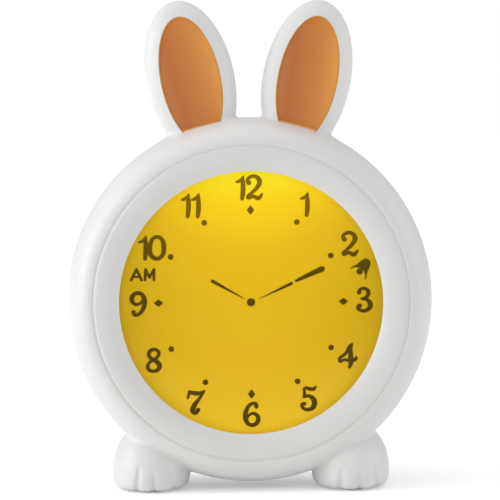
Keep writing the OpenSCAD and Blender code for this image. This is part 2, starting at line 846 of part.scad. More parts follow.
module door_screw()
    color("silver") dial_frame() translate([0, door_tab_y, -back_depth + door_t - 1])
        screw(head_d / 2, 0.9, board_pilot_d / 2 - pin_gap, door_screw_l);

// Cells lie head to tail; even ones point right
module at_cells()
    for (i = [0 : cells - 1]) let (dir = i % 2 == 0 ? 1 : -1)
        translate([0, bay_y + (i - (cells - 1) / 2) * cell_pitch, cell_axis_z])
            rotate([0, dir * 90, 0]) children();

module battery_cells()
    color("steelblue") dial_frame() at_cells() translate([0, 0, bay_w / 2 - 0.15 - contact_t - cell_l]) {
        cylinder(r = cell_d / 2, h = cell_l - 1.1);
        cylinder(r = 2.7, h = cell_l);
    }

module battery_plates()
    color("silver") dial_frame() at_cells() for (z = [-bay_w / 2 + 0.15, bay_w / 2 - 0.15 - contact_t])
        translate([-cell_d / 2 + 1, -cell_d / 2 + 1, z]) cube([cell_d - 2, cell_d - 2, contact_t]);

// A coil of round wire that widens from one end to the other
function coil_point(t) = let (r = spring_r0 + (spring_r1 - spring_r0) * t)
    [r * cos(360 * spring_turns * t), r * sin(360 * spring_turns * t),
     spring_wire_r + (spring_l - 2 * spring_wire_r) * t];
module wire_coil() {
    rings = 12 * spring_turns;
    sides = 6;
    points = [for (i = [0 : rings]) let (t = i / rings, p = coil_point(t), a = 360 * spring_turns * t)
        for (j = [0 : sides - 1]) let (b = 360 * j / sides)
            p + spring_wire_r * [cos(b) * cos(a), cos(b) * sin(a), sin(b)]];
    walls = [for (i = [0 : rings - 1]) for (j = [0 : sides - 1]) let (k = (j + 1) % sides)
        [i * sides + j, (i + 1) * sides + j, (i + 1) * sides + k, i * sides + k]];
    caps = [[for (j = [0 : sides - 1]) j], [for (j = [sides - 1 : -1 : 0]) rings * sides + j]];
    polyhedron(points, concat(walls, caps));
}

module battery_springs()
    color("silver") dial_frame() at_cells() translate([0, 0, -bay_w / 2 + 0.15 + contact_t]) wire_coil();

// Loudspeaker ---------------------------------------------------------------------------------
module speaker_basket()
    color("dimgray") dial_frame() translate([0, speaker_y, speaker_rim_z])
        rotate_extrude() polygon([
            [speaker_r - 2.2, 0], [speaker_r, 0], [speaker_r, speaker_flange_t],
            [speaker_r - 2.4, speaker_flange_t], [magnet_r + 1.4, speaker_t - magnet_t],
            [3.2, speaker_t - magnet_t], [3.2, speaker_t - magnet_t - 0.8],
            [magnet_r + 0.8, speaker_t - magnet_t - 0.8], [speaker_r - 3.4, speaker_flange_t],
            [speaker_r - 3.4, 0.5], [speaker_r - 2.2, 0.5]
        ]);

module speaker_cone()
    color("black") dial_frame() translate([0, speaker_y, speaker_rim_z])
        rotate_extrude() polygon([
            [0, 1.6], [coil_r, 1.2], [cone_r - 1, 0.3], [cone_r, 0], [cone_r + 1.3, 0],
            [cone_r + 1.3, 0.5], [cone_r, 0.5], [coil_r, 2.2], [coil_r, 4], [coil_r - 0.4, 4],
            [coil_r - 0.4, 2.4], [0, 2.4]
        ]);

module speaker_magnet()
    color("silver") dial_frame() translate([0, speaker_y, 0])
        rod(magnet_r, speaker_rim_z + speaker_t - magnet_t, speaker_rim_z + speaker_t);

module speaker_clamp()
    color("silver") dial_frame() translate([0, speaker_y, 0])
        difference() {
            union() {
                rod(speaker_r + 1, clamp_z, clamp_z + clamp_t);
                block(2 * clamp_x, 4.8, clamp_z, clamp_z + clamp_t);
                each_side() translate([$side * clamp_x, 0, 0]) rod(2.4, clamp_z, clamp_z + clamp_t);
            }
            rod(speaker_r - 2, clamp_z - 1, clamp_z + clamp_t + 1);
            each_side() translate([$side * clamp_x, 0, 0])
                rod(board_screw_d / 2 + fit_gap, clamp_z - 1, clamp_z + clamp_t + 1);
        }

// Power inlet ---------------------------------------------------------------------------------
module power_socket()
    color("silver") dial_frame() translate([socket_x, socket_y, 0]) rotate([0, 0, 90]) {
        difference() {
            stadium(socket[1], socket[0], socket_z, socket_z + socket[2]);
            stadium(socket[1] - 0.6, socket[0] - 0.6, socket_z - 1, socket_z + socket[2] - 0.6);
        }
        block(6.6, 0.7, socket_z + 0.8, socket_z + socket[2] - 0.3);
    }

module power_board()
    color("seagreen") dial_frame()
        translate([socket_board_x, socket_y - socket_board[1] / 2, socket_board_z]) cube(socket_board);

// Pads and fasteners --------------------------------------------------------------------------
module foot_pads()
    color("dimgray") dial_frame() at_pads([pad_front_z, pad_back_z]) rod(pad_d / 2, 0, pad_t + pad_sink);

module housing_screws()
    color("silver") dial_frame() at_posts(post_angles) translate([0, 0, tower_top - tower_floor])
        screw(head_d / 2, head_t, pilot_d / 2 - pin_gap, housing_screw_l);

module board_screw(length = board_screw_l) screw(board_head_r, 1.2, board_pilot_d / 2 - pin_gap, length - 0.4);

module board_screws()
    color("silver") dial_frame() {
        at_posts(holder_angles) translate([0, 0, holder_z - holder_floor]) board_screw();
        at_posts(post_angles, standoff_r) translate([0, 0, board_z - board_t]) board_screw();
        for (place = key_board_screws) translate([place[0], place[1], key_board_z])
            mirror([0, 0, 1]) board_screw();
        each_side() translate([$side * clamp_x, speaker_y, clamp_z + clamp_t])
            mirror([0, 0, 1]) board_screw(clamp_screw_l);
    }

module stadium(l, w, z0, z1) {
    block(l - w, w, z0, z1);
    for (end = [-1, 1]) translate([end * (l - w) / 2, 0, 0]) rod(w / 2, z0, z1);
}

front_housing();
rear_housing();
dial_bezel();
dial_window();
lcd_cell();
light_guide();
reflector_sheet();
lcd_holder();
contact_strip();
backlight_leds();
ear_lens_left();
ear_lens_right();
ear_board_left();
ear_board_right();
ear_leds_left();
ear_leds_right();
main_board();
main_chip();
capacitors();
connectors();
key_board();
switch_bodies();
lamp_key();
hour_key();
minute_key();
set_key();
alarm_key();
lamp_plunger();
hour_plunger();
minute_plunger();
set_plunger();
alarm_plunger();
alarm_slider();
slider_lever();
slider_switch();
battery_door();
door_screw();
battery_cells();
battery_springs();
battery_plates();
speaker_basket();
speaker_cone();
speaker_magnet();
speaker_clamp();
power_socket();
power_board();
foot_pads();
housing_screws();
board_screws();
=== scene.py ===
"""Bunny-eared bedside clock: moulded shells, dial print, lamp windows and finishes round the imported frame.

Pieces are modelled in millimetres in the dial frame (x across, y up, z out of the dial, 0 where the
two shells meet) and then settled into the row frame, which is in metres with +Z up.
"""

import json
import logging
import math
from dataclasses import dataclass, field
from enum import Enum
from typing import Any, Sequence

import bpy
import numpy as np
from mathutils import Matrix, Vector


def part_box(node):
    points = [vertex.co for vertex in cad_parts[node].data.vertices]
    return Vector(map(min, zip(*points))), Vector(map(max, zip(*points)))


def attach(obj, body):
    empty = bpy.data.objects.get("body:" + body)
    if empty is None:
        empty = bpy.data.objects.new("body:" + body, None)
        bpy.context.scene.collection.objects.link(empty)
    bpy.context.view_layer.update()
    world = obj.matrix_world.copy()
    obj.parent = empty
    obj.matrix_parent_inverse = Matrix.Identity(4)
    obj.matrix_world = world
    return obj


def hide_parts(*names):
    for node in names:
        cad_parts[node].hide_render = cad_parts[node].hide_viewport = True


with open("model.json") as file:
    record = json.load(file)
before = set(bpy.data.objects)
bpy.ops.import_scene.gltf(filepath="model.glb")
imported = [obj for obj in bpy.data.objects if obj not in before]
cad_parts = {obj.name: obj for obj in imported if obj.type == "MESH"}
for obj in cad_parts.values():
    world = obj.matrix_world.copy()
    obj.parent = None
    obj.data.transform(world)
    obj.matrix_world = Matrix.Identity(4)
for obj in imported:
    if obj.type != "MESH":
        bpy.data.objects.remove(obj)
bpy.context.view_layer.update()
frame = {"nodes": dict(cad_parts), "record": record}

log = logging.getLogger("clock")

MM = 0.001
LEFT = -1
RIGHT = 1
# Edge angles in degrees past which shading breaks and past which a rim is rounded
SHARP = 35
RIM = 50
# Heights between which the backlight's glow grows, in millimetres over the table
LIT_LOW = 20.0
LIT_HIGH = 122.0
# Keeps a quotient finite where its divisor vanishes
TINY = 1e-9

Point = tuple[float, float]
Stroke = list[tuple[float, float, float]]
Piece = bpy.types.Object
Node = bpy.types.Node
Socket = bpy.types.NodeSocket
Tree = bpy.types.NodeTree


# Materials -----------------------------------------------------------------------------------------


def linear(colour: str) -> tuple[float, float, float, float]:
    """Turns an sRGB hex colour such as "#e6e6e5" to linear red, green, blue and alpha."""
    channels = [int(colour[i : i + 2], 16) / 255 for i in (1, 3, 5)]
    return (*[c / 12.92 if c <= 0.04045 else ((c + 0.055) / 1.055) ** 2.4 for c in channels], 1.0)


def feed(tree: Tree, node: Node, inputs: dict) -> None:
    """Sets or links a node's inputs.

    Args:
        tree: The node's tree.
        node: The node.
        inputs: For each input a value, an output to link, or a node whose first output is linked.
    """
    for name, value in inputs.items():
        if isinstance(value, Node):
            value = value.outputs[0]
        if isinstance(value, Socket):
            tree.links.new(value, node.inputs[name])
        else:
            node.inputs[name].default_value = value


def add_node(
    tree: Tree,
    kind: str,
    inputs: dict | None = None,
    stops: Sequence[tuple[float, str]] = (),
    **settings: Any,
) -> Node:
    """Adds a node with its settings and links.

    Args:
        tree: The material's or world's node tree.
        kind: The node's type without its prefix, such as "TexNoise".
        inputs: What goes into its inputs, as feed takes it.
        stops: A colour ramp's positions and hex colours, from the lowest.
        settings: The node's own properties.

    Returns:
        The new node.
    """
    node = tree.nodes.new("ShaderNode" + kind)
    for name, value in settings.items():
        setattr(node, name, value)
    if stops:
        ramp = node.color_ramp.elements
        ramp.remove(ramp[1])
        ramp[0].position = stops[0][0]
        ramp[0].color = linear(stops[0][1])
        for position, colour in stops[1:]:
            ramp.new(position).color = linear(colour)
    feed(tree, node, inputs or {})
    return node


def per_metre(size_mm: float) -> float:
    """The texture scale that gives a pattern of this size in millimetres on Object coordinates."""
    return 1.0 / (size_mm * MM)


@dataclass(frozen=True)
class Finish:
    """A surface finish: what the real one is made of and how its surface was made.

    Grain and relief are the width and height of the fine grain, and mottle is the width of the soft
    change of tone, in millimetres. A real moulded or rolled grain is finer than the render shows, so
    grain is drawn a few times as coarse.
    """

    name: str
    colour: str = "#808080"
    shade: str = "#808080"
    roughness: float = 0.4
    ior: float = 1.5
    metallic: float = 0.0
    grain: float = 1.0
    relief: float = 0.01
    mottle: float = 25.0

    def material(self) -> bpy.types.Material:
        """The finish as a Blender material, built the first time it is asked for."""
        return bpy.data.materials.get(self.name) or self._build()

    def _build(self) -> bpy.types.Material:
        """Builds the node tree, with the grain as a bump.

        Returns:
            The new material.
        """
        material = bpy.data.materials.new(self.name)
        material.use_nodes = True
        tree = material.node_tree
        shader = tree.nodes["Principled BSDF"]
        feed(tree, shader, {"Roughness": self.roughness, "Metallic": self.metallic})
        if not self.metallic:
            feed(tree, shader, {"IOR": self.ior})
        place = add_node(tree, "TexCoord").outputs["Object"]
        grain = add_node(tree, "TexNoise", {"Vector": place, "Scale": per_metre(self.grain), "Detail": 2.0})
        bump = add_node(tree, "Bump", {"Height": grain, "Strength": 1.0, "Distance": self.relief * MM})
        feed(tree, shader, {"Normal": bump})
        self.dress(tree, shader, place)
        return material

    def dress(self, tree: Tree, shader: Node, place: Socket) -> None:
        """Colours the surface with a soft mottle.

        Args:
            tree: The material's node tree.
            shader: Its Principled shader.
            place: The Object coordinates.
        """
        tone = add_node(tree, "TexNoise", {"Vector": place, "Scale": per_metre(self.mottle), "Detail": 3.0})
        mottle = add_node(tree, "ValToRGB", {"Fac": tone}, [(0.3, self.colour), (0.7, self.shade)])
        feed(tree, shader, {"Base Color": mottle})


@dataclass(frozen=True)
class PaintedGlow(Finish):
    """A finish with a painted glow, which gives off some light in its own colour."""

    glow: float = 0.2

    def dress(self, tree: Tree, shader: Node, place: Socket) -> None:
        """Colours the surface and its painted glow alike.

        Args:
            tree: The material's node tree.
            shader: Its Principled shader.
            place: The Object coordinates.
        """
        super().dress(tree, shader, place)
        colour = shader.inputs["Base Color"].links[0].from_socket
        feed(tree, shader, {"Emission Color": colour, "Emission Strength": self.glow})


@dataclass(frozen=True)
class BacklitFilm(Finish):
    """Yellow diffuser film behind the liquid crystal, lit from its upper edge."""

    half_w: float = 50.0
    glow: float = 0.3
    glow_fall: float = 0.18
    side_light: float = 0.82
    gloss: float = 0.05
    weave: float = 0.05

    def dress(self, tree: Tree, shader: Node, place: Socket) -> None:
        """Fades the yellow down and aside from the lit upper edge and weaves a fine grain into it.

        Args:
            tree: The material's node tree.
            shader: Its Principled shader.
            place: The Object coordinates.
        """
        split = add_node(tree, "SeparateXYZ", {"Vector": place})
        span = {"Value": split.outputs["Z"], "From Min": LIT_LOW * MM, "From Max": LIT_HIGH * MM}
        rise = add_node(tree, "MapRange", span)
        width = {0: split.outputs["X"], 1: per_metre(self.half_w)}
        aside = add_node(tree, "Math", width, operation="MULTIPLY")
        aside = add_node(tree, "Math", {0: aside, 1: aside}, operation="MULTIPLY")
        lit = add_node(tree, "Math", {0: aside, 1: -self.glow_fall, 2: rise}, operation="MULTIPLY_ADD")
        yellow = add_node(
            tree,
            "ValToRGB",
            {"Fac": lit},
            [
                (0.0, "#f3cc2a"), (0.13, "#e8c029"), (0.26, "#e2b91b"), (0.5, "#e2bb15"), (0.72, "#ecc319"),
                (0.86, "#fdd419"), (1.0, "#ffec28"),
            ],
        )
        weave = add_node(tree, "TexNoise", {"Vector": place, "Scale": per_metre(self.grain), "Detail": 1.0})
        woven = {"Value": weave, "To Min": 1 - self.weave, "To Max": 1 + self.weave}
        tone = add_node(tree, "MapRange", woven)
        edge = add_node(tree, "MapRange", {"Value": aside, "To Min": 1.0, "To Max": self.side_light})
        tone = add_node(tree, "Math", {0: tone, 1: edge}, operation="MULTIPLY")
        glow = add_node(tree, "VectorMath", {0: yellow, 3: tone}, operation="SCALE")
        feed(tree, shader, {"Base Color": glow, "Emission Color": glow, "Emission Strength": self.glow})
        feed(tree, shader, {"Specular IOR Level": self.gloss})


@dataclass(frozen=True)
class CrystalInk(Finish):
    """Darkened liquid crystal, which lets more light through near the lit upper edge."""

    fade_from: float = 0.62
    gloss: float = 0.05

    def dress(self, tree: Tree, shader: Node, place: Socket) -> None:
        """Fades the ink from olive at the top to dark brown lower down.

        Args:
            tree: The material's node tree.
            shader: Its Principled shader.
            place: The Object coordinates.
        """
        split = add_node(tree, "SeparateXYZ", {"Vector": place})
        span = {"Value": split.outputs["Z"], "From Min": LIT_LOW * MM, "From Max": LIT_HIGH * MM}
        rise = add_node(tree, "MapRange", span)
        ink = add_node(tree, "ValToRGB", {"Fac": rise}, [(self.fade_from, self.shade), (1.0, self.colour)])
        feed(tree, shader, {"Base Color": ink, "Specular IOR Level": self.gloss})


@dataclass(frozen=True)
class LampWindow(Finish):
    """Translucent amber polycarbonate over the ear lamps, frosted on its inside, with painted light and a
    faint painted glow.
    """

    side: int = RIGHT
    # Strength of the painted glow, and how much painted light gathers towards the tip and towards the
    # right-hand edge
    glow: float = 0.08
    lift: float = 0.16
    across: float = 0.9

    def dress(self, tree: Tree, shader: Node, place: Socket) -> None:
        """Paints the amber lighter towards the right-hand edge and the tip, as painted light scattered through
        the lens, with a faint painted glow.

        Args:
            tree: The material's node tree.
            shader: Its Principled shader.
            place: The Object coordinates.
        """
        ears = Ears()
        frame_of_lens = {
            "Vector": place,
            "Location": Vector((self.side * ears.x, 0.0, CLOCK.dial_z + ears.y)) * MM,
            "Rotation": (0.0, self.side * math.radians(ears.lean), 0.0),
            "Scale": (ears.lens_w / 2 * MM, 1.0, ears.lens_l / 2 * MM),
        }
        turned = add_node(tree, "Mapping", frame_of_lens, vector_type="TEXTURE")
        split = add_node(tree, "SeparateXYZ", {"Vector": turned})
        lift = {"Value": split.outputs["Z"], "From Min": -1.0, "To Max": self.lift}
        across = {"Value": split.outputs["X"], "From Min": -1.0, "To Max": self.across}
        both = {0: add_node(tree, "MapRange", across), 1: add_node(tree, "MapRange", lift)}
        # Painted light: lighter towards the right-hand edge and the tip
        painted_light = add_node(tree, "Math", both, operation="ADD")
        amber = add_node(
            tree,
            "ValToRGB",
            {"Fac": painted_light},
            [(0.0, "#bb774a"), (0.28, "#ba6d38"), (0.55, "#ca7d3e"), (0.8, "#de9149"), (1.0, "#f0a655")],
        )
        feed(tree, shader, {"Base Color": amber, "Emission Color": amber, "Emission Strength": self.glow})


@dataclass(frozen=True)
class ClearSheet(Finish):
    """Clear acrylic sheet, polished, thin enough that it doesn't bend the view."""

    def dress(self, tree: Tree, shader: Node, place: Socket) -> None:
        """Lets light straight through and keeps a faint gloss.

        Args:
            tree: The material's node tree.
            shader: Its Principled shader, which is taken out.
            place: The Object coordinates, not used.
        """
        clear = add_node(tree, "BsdfTransparent", {"Color": linear(self.colour)})
        gloss = add_node(tree, "BsdfGlossy", {"Roughness": self.roughness, "Color": linear("#ffffff")})
        edge = add_node(tree, "Fresnel", {"IOR": self.ior})
        mix = add_node(tree, "MixShader", {0: edge, 1: clear, 2: gloss})
        feed(tree, tree.nodes["Material Output"], {"Surface": mix})
        tree.nodes.remove(shader)


class Slot(Enum):
    """The record's material slots, each with the finish that it gives."""

    # Injection-moulded ABS from a finely spark-eroded mould: a satin white with soft highlights
    WHITE_ABS = Finish(
        "white_abs_moulded", "#e6e6e5", "#e9e9e8", 0.42, 1.53, grain=0.6, relief=0.004, mottle=30
    )
    # The same plastic from a smoother mould, with tighter highlights; a shade greyer as painted shade for the
    # bezel set back in its well
    BEZEL_ABS = Finish(
        "bezel_abs_moulded", "#e3e3e2", "#e6e6e5", 0.38, 1.53, grain=0.6, relief=0.004, mottle=30
    )
    # Moulded ABS of the keys: a warmer, darker white than the case
    KEY_ABS = Finish("key_abs_moulded", "#dcdcda", "#e0e0de", 0.4, 1.53, grain=0.5, relief=0.005, mottle=8)
    # Moulded ABS coloured through: a dull mid grey
    SLIDER_ABS = Finish(
        "slider_abs_moulded", "#8b8d8f", "#85878a", 0.45, 1.53, grain=0.5, relief=0.006, mottle=4
    )
    # Polished cast acrylic: clear, with its index set far under the real 1.49 so that its gloss stays faint
    CLEAR_ACRYLIC = ClearSheet("clear_acrylic_sheet", "#fefefd", roughness=0.04, ior=1.08)
    # Diffuser film with a woven grain, lit from above: an even yellow that brightens towards the top
    LCD_GLASS = BacklitFilm("backlit_dial_film", roughness=0.55, grain=0.5, relief=0.004)
    # Moulded acrylic: pale and glossy
    GUIDE_ACRYLIC = Finish("light_guide_acrylic", "#eef0e6", "#e6e9dc", 0.12, 1.49, grain=2, relief=0.01)
    # Foamed polyester film: a bright white with a soft sheen
    WHITE_FILM = Finish("white_reflector_film", "#f2f2ef", "#ececea", 0.35, 1.5, grain=0.4, relief=0.003)
    # Moulded ABS from a plain mould: a flat light grey
    HOLDER_ABS = Finish("holder_abs_moulded", "#c9cbca", "#c2c4c4", 0.5, 1.53, grain=0.7, relief=0.01)
    # Silicone layered with carbon: fine dark and tan stripes that read as a mottle
    CONTACT_RUBBER = Finish("zebra_contact_rubber", "#3b3d40", "#96703f", 0.6, 1.45, grain=0.4, mottle=0.8)
    # Cast epoxy over a phosphor: pale yellow and glossy
    LED_RESIN = Finish("led_resin", "#f3e9b8", "#efe2a2", 0.25, 1.54, grain=0.5, relief=0.005, mottle=2)
    # Moulded polycarbonate, frosted inside: amber with painted light towards its right-hand edge and tip, a
    # faint painted glow and a soft gloss
    AMBER_LAMP = LampWindow("amber_polycarbonate_right", roughness=0.4, ior=1.3, relief=0.002)
    # Glass cloth in epoxy under solder mask: green with a slight weave
    BOARD_LAMINATE = Finish("glass_epoxy_laminate", "#1f6a42", "#2b7a4c", 0.4, 1.55, grain=0.3, mottle=3)
    # Filled epoxy from a mould: matt black
    CHIP_EPOXY = Finish(
        "moulding_compound", "#222326", "#2a2b2e", 0.55, 1.55, grain=0.2, relief=0.006, mottle=3
    )
    # Drawn aluminium: bright with a faint drawing grain
    CAPACITOR_CAN = Finish(
        "aluminium_can", "#b9bcc0", "#a9acb1", 0.3, metallic=1.0, grain=0.4, relief=0.003, mottle=3
    )
    # Moulded nylon: a creamy white, slightly waxy
    CONNECTOR_NYLON = Finish(
        "connector_nylon", "#e7e2d0", "#ded8c4", 0.5, 1.53, grain=0.5, relief=0.006, mottle=4
    )
    # Moulded resin of the small switches: near black with a dull sheen
    SWITCH_RESIN = Finish("switch_resin", "#2c2d30", "#35363a", 0.45, 1.5, grain=0.3, relief=0.005, mottle=2)
    # Shrunk film: a smooth blue with a soft gloss
    CELL_SLEEVE = Finish("cell_sleeve_film", "#3a6f9e", "#34658f", 0.3, 1.5, relief=0.004, mottle=12)
    # Nickel-plated wire: warm and bright
    NICKEL_WIRE = Finish(
        "nickel_plate", "#c5c2ba", "#b3b0a7", 0.24, metallic=1.0, grain=0.3, relief=0.004, mottle=2
    )
    # Nickel-plated strip: warm, with a rolled grain
    NICKEL_PLATE = Finish(
        "nickel_plated_strip", "#cac7bf", "#bbb8ae", 0.28, metallic=1.0, grain=0.5, relief=0.003, mottle=6
    )
    SOCKET_STEEL = NICKEL_PLATE
    # Tinned sheet: a cool silver
    SWITCH_CAN = Finish(
        "tinned_steel_sheet", "#c3c5c7", "#b4b7ba", 0.3, metallic=1.0, grain=0.4, relief=0.003, mottle=4
    )
    CLAMP_STEEL = SWITCH_CAN
    # Painted pressed steel: black with a soft gloss
    SPEAKER_STEEL = Finish(
        "painted_basket_steel", "#232326", "#2b2b2e", 0.4, 1.5, grain=0.5, relief=0.006, mottle=5
    )
    # Coated paper: black, fibrous and dull
    SPEAKER_PAPER = Finish(
        "coated_paper_cone", "#1e1f21", "#292a2c", 0.75, 1.45, grain=0.5, relief=0.03, mottle=3
    )
    # Sintered ferrite: dark grey with a faint metallic grain
    FERRITE = Finish("ferrite_ring", "#4a4b4e", "#3d3e41", 0.6, metallic=0.3, grain=0.4, mottle=3)
    # Moulded rubber: a matt mid grey
    PAD_RUBBER = Finish("pad_rubber", "#77787a", "#6e6f71", 0.7, 1.5, grain=0.4, relief=0.02, mottle=3)
    # Zinc-plated steel: a cool grey metal, slightly uneven
    SCREW_STEEL = Finish(
        "zinc_plated_steel", "#bfc3c7", "#aab0b5", 0.32, metallic=1.0, grain=0.25, relief=0.006, mottle=1.5
    )


# Liquid crystal that blocks the backlight: dark brown, olive near the lit edge
LCD_INK = CrystalInk("liquid_crystal_segment", "#a08204", "#644c08", 0.6, 1.5, grain=0.5, relief=0.002)
# The left window's amber, with its painted light laid out in its own frame
LAMP_LEFT = LampWindow("amber_polycarbonate_left", roughness=0.4, ior=1.3, relief=0.002, side=LEFT)
# A painted highlight: a thin brighter line with a painted glow where light leaves the lens at its edge
PAINTED_EDGE_GLOW = PaintedGlow(
    "amber_painted_edge_glow", "#dda63c", "#d99d38", 0.4, 1.3, relief=0.002, mottle=8, glow=0.12
)


# Sizes and frames ----------------------------------------------------------------------------------


@dataclass(frozen=True)
class Clock:
    """Where the dial frame stands in the row frame, in millimetres, read from the pack."""

    split_y: float
    dial_z: float

    @classmethod
    def from_pack(cls) -> "Clock":
        """Reads the shell joint from the rear shell and the dial centre from the bezel."""
        low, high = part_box("dial_bezel")
        return cls(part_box("rear_housing")[0].y / MM, (low.z + high.z) / 2 / MM)

    def to_row(self) -> Matrix:
        """The matrix from the dial frame in millimetres to the row frame in metres."""
        return Matrix.Scale(MM, 4) @ Matrix.Translation((0, self.split_y, self.dial_z)) @ turn(90, "X")


def turn(degrees: float, axis: str) -> Matrix:
    """The matrix of a turn round an axis."""
    return Matrix.Rotation(math.radians(degrees), 4, axis)


CLOCK = Clock.from_pack()


@dataclass(frozen=True)
class Ears:
    """The ears and their lamp windows in the dial frame."""

    x: float = 22.2
    y: float = 84.5
    lean: float = 11.8
    w: float = 33.5
    length: float = 61.0
    t: float = 16.0
    lens_w: float = 22.8
    lens_l: float = 49.0

    def place(self, side: int) -> Matrix:
        """The matrix from an ear's own frame to the dial frame; side is -1 on the left."""
        return Matrix.Translation((side * self.x, self.y, 0)) @ turn(-side * self.lean, "Z")

    def half(self, inset: float) -> Matrix:
        """The matrix from a unit sphere to an ear that is this much smaller all round."""
        return Matrix.Diagonal((self.w / 2 - inset, self.length / 2 - inset, self.t / 2 - inset, 1))

    def window(self, inset: float) -> Matrix:
        """The matrix from a unit circle to a lamp window that is this much smaller all round."""
        return Matrix.Diagonal((self.lens_w / 2 - inset, self.lens_l / 2 - inset, 1, 1))


class Bench:
    """The modelling bench: Blender's operators on one piece at a time."""

    @staticmethod
    def take(*pieces: Piece) -> Piece:
        """Selects only these pieces, makes the first active and returns it.

        Args:
            pieces: The pieces.

        Returns:
            The first piece.
        """
        bpy.ops.object.select_all(action="DESELECT")
        for piece in pieces:
            piece.select_set(True)
        bpy.context.view_layer.objects.active = pieces[0]
        return pieces[0]

    @classmethod
    def join(cls, name: str, *pieces: Piece) -> Piece:
        """Joins pieces into the first one and names it.

        Args:
            name: The joined piece's name.
            pieces: The pieces.

        Returns:
            The joined piece.
        """
        piece = cls.take(*pieces)
        if len(pieces) > 1:
            bpy.ops.object.join()
        piece.name = piece.data.name = name
        return piece

    @staticmethod
    def primitive(kind: str, name: str, **settings: Any) -> Piece:
        """Adds a mesh primitive and names it.

        Args:
            kind: The primitive, such as "cylinder".
            name: The piece's name.
            settings: The operator's own settings.

        Returns:
            The new piece, alone in the selection.
        """
        bpy.ops.object.select_all(action="DESELECT")
        getattr(bpy.ops.mesh, f"primitive_{kind}_add")(**settings)
        piece = bpy.context.object
        piece.name = piece.data.name = name
        return piece

    @staticmethod
    def move(piece: Piece, matrix: Matrix) -> Piece:
        """Moves a piece's mesh by a matrix and leaves its object at the origin.

        Args:
            piece: The piece.
            matrix: The move, in the piece's present frame.

        Returns:
            The piece.
        """
        bpy.context.view_layer.update()
        piece.data.transform(matrix @ piece.matrix_world)
        piece.matrix_world = Matrix.Identity(4)
        return piece

    @staticmethod
    def copy(piece: Piece, name: str) -> Piece:
        """Copies a piece with a mesh of its own.

        Args:
            piece: The piece.
            name: The copy's name.

        Returns:
            The copy.
        """
        twin = piece.copy()
        twin.data = piece.data.copy()
        twin.name = twin.data.name = name
        bpy.context.scene.collection.objects.link(twin)
        return twin

    @classmethod
    def apply(cls, piece: Piece, kind: str, **settings: Any) -> Piece:
        """Adds a modifier and applies it.

        Args:
            piece: The piece.
            kind: The modifier's type.
            settings: Its settings.

        Returns:
            The piece.
        """
        cls.take(piece)
        modifier = piece.modifiers.new(kind.lower(), kind)
        for name, value in settings.items():
            setattr(modifier, name, value)
        bpy.ops.object.modifier_apply(modifier=modifier.name)
        return piece

    @classmethod
    def combine(cls, operation: str, piece: Piece, *tools: Piece) -> Piece:
        """Changes a piece by each closed tool in turn and deletes the tools.

        Args:
            operation: UNION, DIFFERENCE or INTERSECT.
            piece: The piece that stays.
            tools: The closed meshes that act on it.

        Returns:
            The piece.
        """
        for tool in tools:
            cls.apply(piece, "BOOLEAN", object=tool, operation=operation, solver="MANIFOLD")
            bpy.data.meshes.remove(tool.data)
        return piece

    @classmethod
    def weld(cls, piece: Piece, *tools: Piece) -> Piece:
        """Adds the tools to the piece."""
        return cls.combine("UNION", piece, *tools)

    @classmethod
    def cut(cls, piece: Piece, *tools: Piece) -> Piece:
        """Takes the tools out of the piece."""
        return cls.combine("DIFFERENCE", piece, *tools)

    @classmethod
    def trim(cls, piece: Piece, tool: Piece) -> Piece:
        """Keeps what the piece shares with the tool."""
        return cls.combine("INTERSECT", piece, tool)

    @classmethod
    def round_rim(cls, piece: Piece, width: float, segments: int) -> Piece:
        """Rounds the sharp edges of a piece with a bevel."""
        return cls.apply(piece, "BEVEL", width=width, segments=segments, angle_limit=math.radians(RIM))

    @staticmethod
    def edit(*steps: tuple[str, dict]) -> None:
        """Runs mesh operators in edit mode on the whole active piece.

        Args:
            steps: Each operator's name and settings.
        """
        bpy.ops.object.mode_set(mode="EDIT")
        for name, settings in steps:
            bpy.ops.mesh.select_all(action="SELECT")
            getattr(bpy.ops.mesh, name)(**settings)
        bpy.ops.object.mode_set(mode="OBJECT")

    @classmethod
    def turned(cls, name: str, outline: Sequence[Point], steps: int = 192) -> Piece:
        """Spins a closed outline of (radius, z) points round the z axis.

        Args:
            name: The piece's name.
            outline: The outline's corners in order.
            steps: Steps in a full turn.

        Returns:
            The turned piece.
        """
        piece = cls.primitive("circle", name, vertices=len(outline), fill_type="NOTHING")
        for vertex, (r, z) in zip(piece.data.vertices, outline):
            vertex.co = (r, 0, z)
        cls.edit(
            ("spin", {"steps": steps, "angle": 2 * math.pi, "center": (0, 0, 0), "axis": (0, 0, 1)}),
            ("remove_doubles", {"threshold": 0.001}),
            ("dissolve_degenerate", {"threshold": 0.001}),
            ("normals_make_consistent", {"inside": False}),
        )
        return piece

    @classmethod
    def ring(cls, name: str, r0: float, r1: float, z0: float, z1: float) -> Piece:
        """A plain ring from r0 to r1 and from z0 to z1, used as a tool."""
        return cls.turned(name, [(r0, z0), (r1, z0), (r1, z1), (r0, z1)])

    @classmethod
    def rod(cls, name: str, r: float, z0: float, z1: float, at: Point = (0, 0), sides: int = 64) -> Piece:
        """A plain cylinder along z from z0 to z1, used as a tool or a base; at is its place across z."""
        middle = (*at, (z0 + z1) / 2)
        return cls.primitive("cylinder", name, vertices=sides, radius=r, depth=z1 - z0, location=middle)

